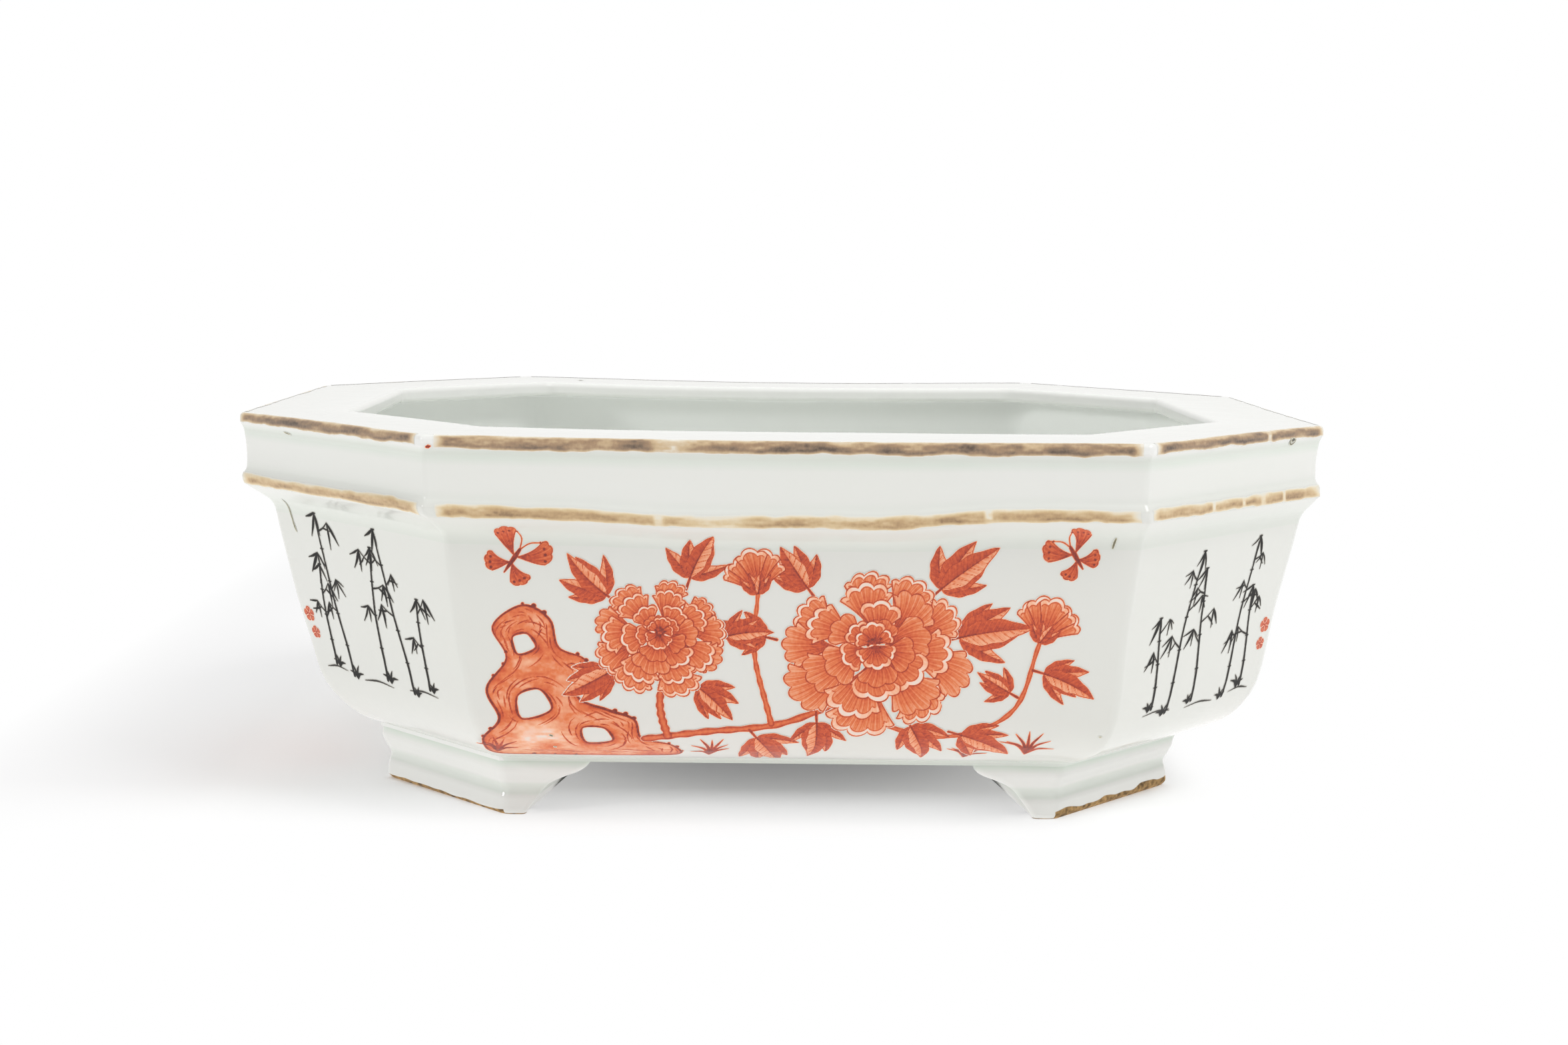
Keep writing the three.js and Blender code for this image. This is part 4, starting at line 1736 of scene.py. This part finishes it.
@dataclass
class Floor:
    """The floor slab, with its two drain holes."""

    inset: float = 36.3
    hole_radius: float = 7.0
    hole_spacing: float = 110.0
    hole_edge: float = 1.2

    def build(self, glaze: bpy.types.Material) -> None:
        """Builds and glazes the slab.

        Args:
            glaze: The clear glaze.
        """
        bm = bmesh.new()
        corners = []
        for side in SIDES.values():
            along = side.half - self.inset * MITRE_SLOPE
            spot = side.place(np.array(along), np.array(self.inset), np.array(FLOOR_TOP))
            corners.append(bm.verts.new(Vector(spot) * MM))
        for a, b in zip(corners, corners[1:] + corners[:1]):
            bm.edges.new((a, b))
        for end in (-1, 1):
            spot = Matrix.Translation((end * self.hole_spacing / 2 * MM, 0, FLOOR_TOP * MM))
            bmesh.ops.create_circle(bm, segments=48, radius=self.hole_radius * MM, matrix=spot)
        bmesh.ops.triangle_fill(bm, use_beauty=True, use_dissolve=False, edges=bm.edges)
        top = bmesh.ops.extrude_face_region(bm, geom=bm.faces)
        lower = [v for v in top["geom"] if isinstance(v, bmesh.types.BMVert)]
        bmesh.ops.translate(bm, verts=lower, vec=(0, 0, (FLOOR_UNDERSIDE - FLOOR_TOP) * MM))
        bmesh.ops.recalc_face_normals(bm, faces=bm.faces)
        hole = self.hole_spacing / 2 * MM
        near = (self.hole_radius + 0.5) * MM
        rims = [
            e
            for e in bm.edges
            if len(e.link_faces) == 2
            and e.calc_face_angle() > 1
            and all(math.hypot(abs(v.co.x) - hole, v.co.y) < near for v in e.verts)
        ]
        bmesh.ops.bevel(
            bm, geom=rims, offset=self.hole_edge * MM, offset_type="OFFSET", affect="EDGES",
            segments=4, profile=0.5, material=-1,
        )
        # The top takes the inner colour: a faint greenish tint, lightened as painted light in the pot's
        # shade.
        green = bm.verts.layers.float.new("green")
        pool = bm.verts.layers.float.new("pool")
        middle = (FLOOR_TOP + FLOOR_UNDERSIDE) / 2 * MM
        for vert in bm.verts:
            upper = vert.co.z > middle
            vert[green] = 0.9 if upper else 0.2
            vert[pool] = 0.2 if upper else 0.0
        slab = finished(bm, "floor_slab_glazed", None)
        dress(slab, glaze, ["floor_slab"])


@dataclass
class GiltLines:
    """Two brush-laid gilt lines round the rim, worn and broken, short of every corner."""

    upper: tuple[float, float] = (107.1, 110.42)
    upper_on_cuts: tuple[float, float] = (107.6, 110.42)
    lower: tuple[float, float] = (88.5, 91.7)

    def ends(self, face: Face) -> tuple[float, float]:
        """Gives how short of its corners a side's lines stop.

        Args:
            face: The side.

        Returns:
            The bare lengths at its left and right ends.
        """
        if face is Face.FRONT_LEFT:
            return 0.35, 2.7
        if face is Face.FRONT_RIGHT:
            return 2.4, 0.35
        return 3.2, 2.0

    def strip(
        self,
        name: str,
        sheet: WallFace,
        heights: tuple[float, float],
        short: tuple[float, float],
        faded: Sequence[tuple[float, float]],
        seed: int,
    ) -> bpy.types.Object:
        """Brushes one line along one side: darkest along its lower edge, and patchily worn.

        Args:
            name: The film's name.
            sheet: The sheet that it lies on.
            heights: The line's lower and upper edges above the ground.
            short: How far short of the side's left and right corners it stops.
            faded: The middle and half length of each stretch that has worn away.
            seed: What its wear is drawn from.

        Returns:
            The painted film.
        """
        climbing = np.maximum.accumulate(sheet.path[:, 1])
        bottom, top = (float(np.interp(h, climbing, sheet.climb)) for h in heights)
        left, right = short[0] - sheet.side.half, sheet.side.half - short[1]
        canvas = Canvas(left, right, bottom - 0.7, top + 0.7)
        chance = np.random.default_rng(seed)
        u, v = canvas.across[None, :], canvas.up[:, None]
        swings = [canvas.cloud(wide, 99, chance)[:1] for wide in (11, 3.2, 14, 3.8, 1.4)]
        low_edge = bottom + 0.3 * swings[0] + 0.22 * swings[1] + 0.08 * swings[4]
        high_edge = top + 0.35 * swings[2] + 0.25 * swings[3]
        ends = np.minimum(u - left, right - u) * 0.34
        edge = np.minimum(np.minimum(v - low_edge, (high_edge - v) * 0.7), ends)
        inside = covered(edge)
        blots = canvas.cloud(5.5, 1.1, chance) + 0.6 * canvas.cloud(1.7, 0.6, chance)
        climb = np.clip((v - low_edge) / (top - bottom), 0, 1)
        shade = 0.88 - 0.5 * climb + 0.24 * blots + 0.16 * canvas.cloud(9, 99, chance)
        shade = shade + 0.2 * np.exp(-np.clip(v - low_edge, 0, None) / 0.4)
        worn = np.clip(edge / 0.9, 0, 1) * np.clip(ends / 1.1, 0.2, 1)
        for middle, half in faded:
            gone = np.exp(-(((u - middle) / half) ** 4))
            worn = worn * (1 - gone * np.clip(0.86 + 0.5 * blots, 0, 1))
        canvas.load = inside * np.clip(shade, 0.25, 1) * (0.12 + 0.88 * worn)
        canvas.cover = inside
        return sheet.paint(name, canvas, GILT_LIFT)

    def build(self, rim: Rim, upper: bpy.types.Material, lower: bpy.types.Material) -> None:
        """Lays both lines round all eight sides.

        Args:
            rim: The rim that they lie on.
            upper: The lip's gilding.
            lower: The bead's gilding.
        """
        # The stretches that have worn away on the upper and on the lower line of each side.
        worn = {
            Face.FRONT: (((-30, 5),), ((-18, 7), (-33, 1.5), (52, 1.2))),
            Face.FRONT_LEFT: ((), ()),
            Face.FRONT_RIGHT: (((14, 1.2),), ((-12, 1.0), (3, 0.9), (13, 1.4), (24, 0.9))),
        }
        plain = (((9, 1.5),), ((-20, 1.6), (12, 4.5)))
        for number, (face, side) in enumerate(SIDES.items()):
            faded = worn.get(face, plain)
            heights = self.upper_on_cuts if side.is_cut else self.upper
            lines = (
                ("upper", rim.lip(), heights, faded[0], number, upper),
                ("lower", rim.collar(), self.lower, faded[1], 40 + number, lower),
            )
            for which, run, edges, gone, seed, gilding in lines:
                name = f"{face.value}_{which}_gilt_line"
                line = self.strip(name, WallFace(side, run), edges, self.ends(face), gone, seed)
                dress(line, gilding)


def wall_sheet(face: Face, walls: Walls, rim: Rim) -> WallFace:
    """Lays the painter's sheet up a wall's outer face and over the cove above it.

    Args:
        face: The wall's side.
        walls: The walls.
        rim: The rim, whose cove it ends in.

    Returns:
        The sheet.
    """
    return WallFace(SIDES[face], walls.outside(), Section(rim.cove()))


@dataclass
class Flaws:
    """The small marks of kiln and use: iron specks, a scratch, stains and a stray touch of red."""

    walls: Walls
    rim: Rim
    iron: bpy.types.Material
    red: bpy.types.Material

    margin: float = 1.5

    def mark(
        self, face: Face, name: str, strokes: Sequence[tuple], on_lip: bool = False, red: bool = False
    ) -> None:
        """Lays a few small strokes on one side.

        Args:
            face: The side.
            name: The mark's name.
            strokes: The points, the widths and the load of each.
            on_lip: Whether it lies on the lip, and not on the wall.
            red: Whether it is enamel, and not iron.
        """
        points = np.array([p for path, _, _ in strokes for p in path])
        left, bottom = points.real.min() - self.margin, points.imag.min() - self.margin
        right, top = points.real.max() + self.margin, points.imag.max() + self.margin
        canvas = Canvas(left, right, bottom, top)
        for path, widths, load in strokes:
            canvas.line(through(path), widths, load)
        if on_lip:
            sheet = WallFace(SIDES[face], self.rim.lip())
        else:
            sheet = wall_sheet(face, self.walls, self.rim)
        film = sheet.paint(f"{face.value}_{name}", canvas, BLOOM_LIFT)
        dress(film, self.red if red else self.iron)

    def build(self) -> None:
        """Lays every mark."""
        speck = (0.3, 0.5, 0.3)
        front = [
            ([-65.8 + 20.2j, -65.2 + 19.8j], speck, 0.9),
            ([-64.8 + 14.6j, -64.4 + 14.4j], speck, 0.45),
            ([83.6 + 76.2j, 83.9 + 77.6j, 84.2 + 78.8j], (0.35, 0.5, 0.3), 0.75),
            ([83.0 + 22j, 83.4 + 21.9j], speck, 0.3),
        ]
        for number, stroke in enumerate(front):
            self.mark(Face.FRONT, f"speck_{number + 1}", [stroke])
        streak = [-33.6 + 80j, -33.2 + 77j, -32.4 + 73.5j, -31.6 + 71.2j]
        widths = (0.12, 0.3, 0.45, 0.3, 0.5, 0.2)
        self.mark(Face.FRONT_LEFT, "worn_streak", [(streak, widths, 0.7)])
        scratch = [-21.4 + 1.7j, -20 + 1.5j, -18.4 + 1.2j]
        self.mark(Face.FRONT_LEFT, "scratch", [(scratch, (0.1, 0.3, 0.12), 0.8)], on_lip=True)
        rim = [25.4 + 3.4j, 25.5 + 2.2j, 26.6 + 1.5j, 27.9 + 2.0j, 28.1 + 2.9j]
        chip = [
            (rim, (0.2, 0.4, 0.45, 0.4, 0.3), 0.8),
            ([26.2 + 2.9j, 27.3 + 2.9j], (0.7, 1.1, 0.7), 0.95),
        ]
        self.mark(Face.FRONT_RIGHT, "stained_chip", chip, on_lip=True)
        spot = ([71.6 + 17j, 72.4 + 17j], (0.7, 1.1, 0.7), 0.85)
        self.mark(Face.BACK, "speck", [spot], on_lip=True)
        touch = [([-92.0 + 2.9j, -91.2 + 3.1j], (0.6, 0.9, 0.5), 1.0)]
        self.mark(Face.FRONT, "stray_touch", touch, on_lip=True, red=True)


@dataclass
class Paintings:
    """The overglaze pictures: peonies and butterflies in iron red, bamboo in black."""

    walls: Walls
    rim: Rim
    red: bpy.types.Material
    black: bpy.types.Material

    def lay(
        self, face: Face, name: str, canvas: Canvas, lift: float = ENAMEL_LIFT, red: bool = True
    ) -> None:
        """Lays one painted canvas on its wall.

        Args:
            face: The wall's side.
            name: The picture's name.
            canvas: The painted grid.
            lift: How far it stands proud of the glaze.
            red: Whether it is iron red, and not black.
        """
        film = wall_sheet(face, self.walls, self.rim).paint(f"{face.value}_{name}", canvas, lift)
        dress(film, self.red if red else self.black)

    def front(self) -> None:
        """Paints the front: two peonies and two buds by a garden rock, butterflies and grass."""
        ground = Brush(Canvas(-88, 86, 7, 84), seed=23)
        ground.rock(
            [
                *(-80 + 10j, -84 + 18j, -79 + 26j, -82 + 35j, -76 + 44j, -79 + 53j, -71 + 59j),
                *(-64 + 55j, -62 + 47j, -55 + 43j, -58 + 33j, -50 + 29j, -43 + 26j, -41 + 19j),
                *(-33 + 16j, -31 + 10j, -50 + 8.5j, -66 + 9j),
            ],
            [
                [-73 + 45j, -74 + 50j, -70 + 51j, -68 + 47j],
                [-73 + 26j, -74 + 33j, -68 + 35j, -65 + 29j],
                [-56 + 17j, -57 + 23j, -51 + 23j, -49 + 18j],
            ],
        )
        ground.butterfly(-73 + 72j, 10, -0.6)
        ground.butterfly(74 + 74j, 8.5, 0.6)
        ground.tuft(-80 + 11j, 9, 6)
        ground.tuft(-22 + 10j, 10, 7)
        ground.tuft(48 + 10j, 9, 6)
        ground.tuft(64 + 13j, 12, 7)
        self.lay(Face.FRONT, "rock_and_butterflies", ground.canvas)

        branch = Brush(Canvas(-88, 86, 7, 84), seed=5)
        branch.stem([-40 + 19j, -24 + 22j, -4 + 25j, 16 + 34j], 2.6, 1.8)
        branch.stem([-34 + 20j, -36 + 32j, -33 + 46j], 2.2, 1.6)
        branch.stem([-6 + 25j, -10 + 44j, -9 + 64j], 1.5, 0.9)
        branch.stem([12 + 31j, 38 + 21j, 58 + 29j, 66 + 50j], 1.7, 1.0)
        for base, angle, size in (
            *((-12 + 23j, -1.0, 16), (6 + 29j, -1.5, 15), (30 + 28j, -1.1, 16), (42 + 23j, -0.35, 16)),
            *((40 + 50j, 0.25, 20), (36 + 62j, 0.75, 18), (6 + 62j, 2.2, 15), (-4 + 50j, 2.9, 13)),
            *((-46 + 60j, 2.5, 15), (-28 + 64j, 1.25, 15), (-20 + 50j, 0.3, 12)),
            *((-28 + 38j, -0.7, 14), (-46 + 42j, 3.7, 14), (64 + 42j, -0.3, 14), (60 + 34j, 2.6, 11)),
        ):
            branch.leaf_spray(base, angle, size)
        branch.bud(-9 + 63j, 1.75, 13)
        branch.bud(66 + 50j, 1.25, 13)
        self.lay(Face.FRONT, "branch", branch.canvas, BRANCH_LIFT)

        large = Brush(Canvas(-16, 60, 10, 84), seed=11)
        large.peony(22 + 48j, 28, tilt=0.12)
        self.lay(Face.FRONT, "large_peony", large.canvas, BLOOM_LIFT)
        small = Brush(Canvas(-64, -6, 20, 84), seed=12)
        small.peony(-35 + 51j, 19.5, tilt=-0.25)
        self.lay(Face.FRONT, "small_peony", small.canvas, BLOOM_LIFT)

    def corner(self, face: Face, seed: int, flip: int, ground: float) -> None:
        """Paints slender black bamboo on a cut corner, with two plum blossoms at its edge.

        Args:
            face: The cut corner.
            seed: What its unevenness is drawn from.
            flip: 1, or -1 to mirror the picture.
            ground: How high the bamboo stands.
        """
        brush = Brush(Canvas(-38, 38, 12, 81), seed=seed)
        # Each stem's place across, its foot above the ground line, its height, lean and sprays.
        stems = (
            (-26, 1.5, 31, 3, 2),
            (-18, -1.0, 48, -3, 4),
            (-1, 0.5, 40, 5, 3),
            (11, -1.5, 47, -4, 3),
            (19, 1.0, 27, 3, 2),
        )
        for across, step, tall, lean, sprays in stems:
            foot = complex(across * flip, ground + step)
            brush.bamboo(foot, tall, lean * flip, sprays)
            brush.tuft(foot + complex(1.6 * flip, -0.4), 4.5 * brush.vary(0.2), 4)
        for left, right, level in ((-31, -21, 0.3), (-13, 1, -1.2), (9, 22, -0.6)):
            bank = [complex(u * flip, ground + level) for u in (left, (left + right) / 2, right)]
            bank[1] += 0.8j
            brush.canvas.line(through(bank), (0.15, 0.5, 0.35, 0.12), 0.8)
        self.lay(face, "bamboo", brush.canvas, red=False)
        accent = Brush(Canvas(-38, 38, 14, 78), seed=seed + 9)
        accent.blossom(complex(-34 * flip, 46), 2.3)
        accent.blossom(complex(-33 * flip, 40.5), 1.9)
        self.lay(face, "blossom", accent.canvas)

    def end(self, face: Face, seed: int) -> None:
        """Paints one peony spray and a butterfly on an end wall.

        Args:
            face: The end wall.
            seed: What its unevenness is drawn from.
        """
        brush = Brush(Canvas(-44, 44, 8, 82), seed=seed)
        brush.stem([20 + 10j, 10 + 20j, 2 + 36j], 2.0, 1.3)
        for base, angle, size in (
            *((11 + 19j, -0.1, 16), (14 + 16j, 2.6, 13), (-12 + 34j, 3.4, 15)),
            *((10 + 54j, 0.8, 15), (-10 + 56j, 2.3, 14), (12 + 34j, -0.4, 14)),
        ):
            brush.leaf_spray(base, angle, size)
        brush.peony(45j, 17, tilt=0.2)
        brush.butterfly(32 + 68j, 8, 0.5)
        brush.tuft(-24 + 11j, 10, 6)
        self.lay(face, "peony", brush.canvas)

    def back(self) -> None:
        """Paints a lighter peony spray on the back."""
        branch = Brush(Canvas(-80, 80, 8, 82), seed=77)
        branch.stem([-56 + 11j, -34 + 19j, -10 + 22j, 8 + 38j], 2.4, 1.4)
        branch.stem([-10 + 22j, 18 + 20j, 44 + 32j], 1.6, 1.0)
        for base, angle, size in (
            *((-34 + 19j, 1.9, 17), (-24 + 20j, -1.0, 14), (-10 + 40j, 2.9, 15)),
            *((18 + 20j, -0.8, 15), (34 + 27j, -0.2, 15), (60j, 2.2, 16), (24 + 54j, 0.5, 17)),
        ):
            branch.leaf_spray(base, angle, size)
        branch.bud(44 + 32j, 0.9, 13)
        self.lay(Face.BACK, "branch", branch.canvas)
        bloom = Brush(Canvas(-22, 42, 14, 80), seed=79)
        bloom.peony(10 + 46j, 22, tilt=-0.1)
        self.lay(Face.BACK, "peony", bloom.canvas, BLOOM_LIFT)
        ground = Brush(Canvas(-80, 80, 8, 82), seed=78)
        ground.butterfly(-44 + 62j, 10, -0.4)
        ground.tuft(60 + 12j, 11, 7)
        self.lay(Face.BACK, "butterfly", ground.canvas)

    def build(self) -> None:
        """Paints every wall."""
        self.front()
        self.corner(Face.FRONT_LEFT, 31, 1, 30)
        self.corner(Face.FRONT_RIGHT, 32, -1, 27)
        self.corner(Face.BACK_RIGHT, 33, 1, 28)
        self.corner(Face.BACK_LEFT, 34, -1, 28)
        self.end(Face.RIGHT, 51)
        self.end(Face.LEFT, 52)
        self.back()


@dataclass
class Studio:
    """A white sweep, soft lamps and the camera of the photograph.

    The seen floor is grey only near the pot, inside shade_edges (axis, where it is white, where it
    is fully grey, in metres). On the left its colour is darkened as a painted shadow, as
    painted_left_shade says (where it is dimmest, where the darkening starts, the dimmest share).
    Round the pot the lit floor throws light up at it: bounce_ring says where that starts and is
    full, as shares of the pot's half sizes.
    """

    floor_half: float = 6.0
    seen_paper: str = "f1f1f2"
    lit_paper: str = "cfcfd0"
    paper_glow: float = 0.14
    painted_left_shade: tuple[float, float, float] = (-0.25, -0.16, 0.7)
    shade_edges: tuple[tuple[str, float, float], ...] = (
        ("X", -0.255, -0.170),
        ("X", 0.135, 0.110),
        ("Y", -0.101, -0.050),
        ("Y", 0.600, 0.300),
    )
    bounce: float = 0.57
    bounce_ring: tuple[float, float] = (0.4, 0.65)
    room_light: float = 0.32
    room_shine: float = 0.95
    room_tone: str = "f9f9f7"
    aim: tuple[float, float, float] = (0, 0, 0.06)

    def floor(self) -> None:
        """Lays the pale floor, which keeps the pot's shadow and fades to plain white round it."""
        bm = bmesh.new()
        bmesh.ops.create_grid(bm, x_segments=1, y_segments=1, size=self.floor_half)
        mesh = bpy.data.meshes.new("studio_floor")
        bm.to_mesh(mesh)
        bm.free()
        piece = stand("studio_floor", mesh)
        made = bpy.data.materials.new("white paper sweep")
        made.use_nodes = True
        tree = made.node_tree
        tree.nodes.clear()
        where = add_node(tree, "ShaderNodeTexCoord").outputs["Object"]
        spot = add_node(tree, "ShaderNodeSeparateXYZ", {0: where}).outputs
        grey = None
        for axis, white, full in self.shade_edges:
            span = {"Value": spot[axis], "From Min": white, "From Max": full}
            share = add_node(tree, "ShaderNodeMapRange", span).outputs[0]
            if grey:
                both = add_node(tree, "ShaderNodeMath", {0: grey, 1: share}, operation="MULTIPLY")
                share = both.outputs[0]
            grey = share
        # A painted shadow: the seen floor's colour darkens towards the left.
        far, near, dim = self.painted_left_shade
        span = {"Value": spot["X"], "From Min": far, "From Max": near, "To Min": dim}
        bend = add_node(tree, "ShaderNodeMapRange", span)
        share = {0: linear(self.seen_paper)[:3], "Scale": bend.outputs[0]}
        tone = add_node(tree, "ShaderNodeVectorMath", share, operation="SCALE")
        paper = add_node(tree, "ShaderNodeBsdfDiffuse", {"Color": tone.outputs[0]})
        glow = add_node(tree, "ShaderNodeEmission", {"Strength": self.paper_glow})
        lit = add_node(tree, "ShaderNodeAddShader", {0: paper.outputs[0], 1: glow.outputs[0]})
        white = add_node(tree, "ShaderNodeEmission", {"Strength": 1.0})
        seen = add_node(tree, "ShaderNodeMixShader", {0: grey, 1: white.outputs[0], 2: lit.outputs[0]})
        shares = {0: where, 1: (1 / CAD_HIGH.x, 1 / CAD_HIGH.y, 0)}
        round_pot = add_node(tree, "ShaderNodeVectorMath", shares, operation="MULTIPLY")
        outside = add_node(tree, "ShaderNodeVectorMath", {0: round_pot.outputs[0]}, operation="LENGTH")
        start, full = self.bounce_ring
        span = {"From Min": start, "From Max": full, "To Max": self.bounce}
        ring = add_node(tree, "ShaderNodeMapRange", {"Value": outside.outputs["Value"], **span})
        sheet = add_node(tree, "ShaderNodeBsdfDiffuse", {"Color": linear(self.lit_paper)})
        bounce = add_node(tree, "ShaderNodeEmission", {"Strength": ring.outputs[0]})
        giving = add_node(tree, "ShaderNodeAddShader", {0: sheet.outputs[0], 1: bounce.outputs[0]})
        ray = add_node(tree, "ShaderNodeLightPath").outputs["Is Camera Ray"]
        both = add_node(tree, "ShaderNodeMixShader", {0: ray, 1: giving.outputs[0], 2: seen.outputs[0]})
        add_node(tree, "ShaderNodeOutputMaterial", {"Surface": both.outputs[0]})
        piece.data.materials.append(made)

    def world(self) -> None:
        """Makes the room: white to the camera, nearly so in reflections, softer as light."""
        room = bpy.data.worlds.new("studio room")
        bpy.context.scene.world = room
        room.use_nodes = True
        tree = room.node_tree
        tree.nodes.clear()
        seen = add_node(tree, "ShaderNodeBackground", {"Color": (1, 1, 1, 1), "Strength": 1.0})
        light, shine = (
            add_node(tree, "ShaderNodeBackground", {"Color": linear(self.room_tone), "Strength": strength})
            for strength in (self.room_light, self.room_shine)
        )
        ray = add_node(tree, "ShaderNodeLightPath").outputs
        ways = {0: ray["Is Glossy Ray"], 1: light.outputs[0], 2: shine.outputs[0]}
        given = add_node(tree, "ShaderNodeMixShader", ways)
        ways = {0: ray["Is Camera Ray"], 1: given.outputs[0], 2: seen.outputs[0]}
        both = add_node(tree, "ShaderNodeMixShader", ways)
        add_node(tree, "ShaderNodeOutputWorld", {"Surface": both.outputs[0]})

    def lamp(
        self, name: str, spot: Sequence[float], size: float, power: float, mirrored: bool = True
    ) -> None:
        """Hangs one white soft box, turned to the pot.

        Args:
            name: The lamp's name.
            spot: Its place in metres.
            size: Its side in metres.
            power: Its power in watts.
            mirrored: Whether the glaze mirrors it.
        """
        data = bpy.data.lights.new(name, "AREA")
        data.shape = "SQUARE"
        data.size = size
        data.energy = power
        lamp = stand(name, data)
        lamp.location = spot
        lamp.visible_glossy = mirrored
        aim = Vector(self.aim) - lamp.location
        lamp.rotation_euler = aim.to_track_quat("-Z", "Y").to_euler()

    def camera(self) -> None:
        """Stands the camera where the photograph was taken from."""
        data = bpy.data.cameras.new("camera")
        data.sensor_width = SENSOR_WIDTH
        data.lens = FOCAL_PIXELS / PHOTO_WIDTH * SENSOR_WIDTH
        data.clip_start, data.clip_end = 0.05, 30
        ahead = Vector((0, math.cos(CAMERA_PITCH), -math.sin(CAMERA_PITCH)))
        level = Vector((1, 0, 0))
        upward = level.cross(ahead)
        right = level * math.cos(CAMERA_ROLL) - upward * math.sin(CAMERA_ROLL)
        top = level * math.sin(CAMERA_ROLL) + upward * math.cos(CAMERA_ROLL)
        turned = Matrix((right, top, -ahead)).transposed().to_4x4()
        place = Matrix.Translation(Vector((CAMERA_ASIDE, -CAMERA_AWAY, CAMERA_HEIGHT)) * MM)
        camera = stand("camera", data)
        camera.matrix_world = Matrix.Rotation(-OBJECT_YAW, 4, "Z") @ place @ turned
        bpy.context.scene.camera = camera

    def build(self) -> None:
        """Sets up the room, the lamps and the camera."""
        self.floor()
        self.world()
        self.lamp("key_softbox", (0.9, -0.6, 1.25), 0.8, 11.5)
        self.lamp("left_softbox", (-1.275, -0.765, 0.525), 0.25, 4.8)
        self.lamp("top_softbox", (0.0, 0.1, 1.5), 2.2, 17.0, mirrored=False)
        self.camera()
        bpy.context.scene.view_settings.view_transform = "Standard"


def main() -> None:
    """Builds the pot from its floor up, paints it, and sets up the studio."""
    logging.basicConfig(level=logging.INFO, format="%(message)s")
    glaze = ClearGlaze("clear glaze over porcelain")
    clear = glaze.material()
    walls, rim = Walls(), Rim()
    walls.build(clear)
    rim.build(clear)
    # Its paler colour on the feet is thinner glaze and also painted light.
    wiped = ClearGlaze("clear glaze wiped off the foot rim", thin_and_lit="e7e7e3", bare_edge=True)
    Feet().build(wiped.material())
    Floor().build(clear)
    GiltLines().build(
        rim,
        Enamel("worn gilding on the lip", glaze, LIP_GILT, 0.35).material(),
        Enamel("worn gilding on the bead", glaze, BEAD_GILT, 0.35).material(),
    )
    red = Enamel("iron-red enamel over glaze", glaze, IRON_RED).material()
    Paintings(
        walls,
        rim,
        red,
        Enamel("dry black enamel over glaze", glaze, INK_BLACK, 0.5, 1.25).material(),
    ).build()
    Flaws(
        walls,
        rim,
        Enamel("iron stain fired into the glaze", glaze, STAIN, 0.3).material(),
        red,
    ).build()
    Studio().build()


if __name__ == "__main__":
    main()
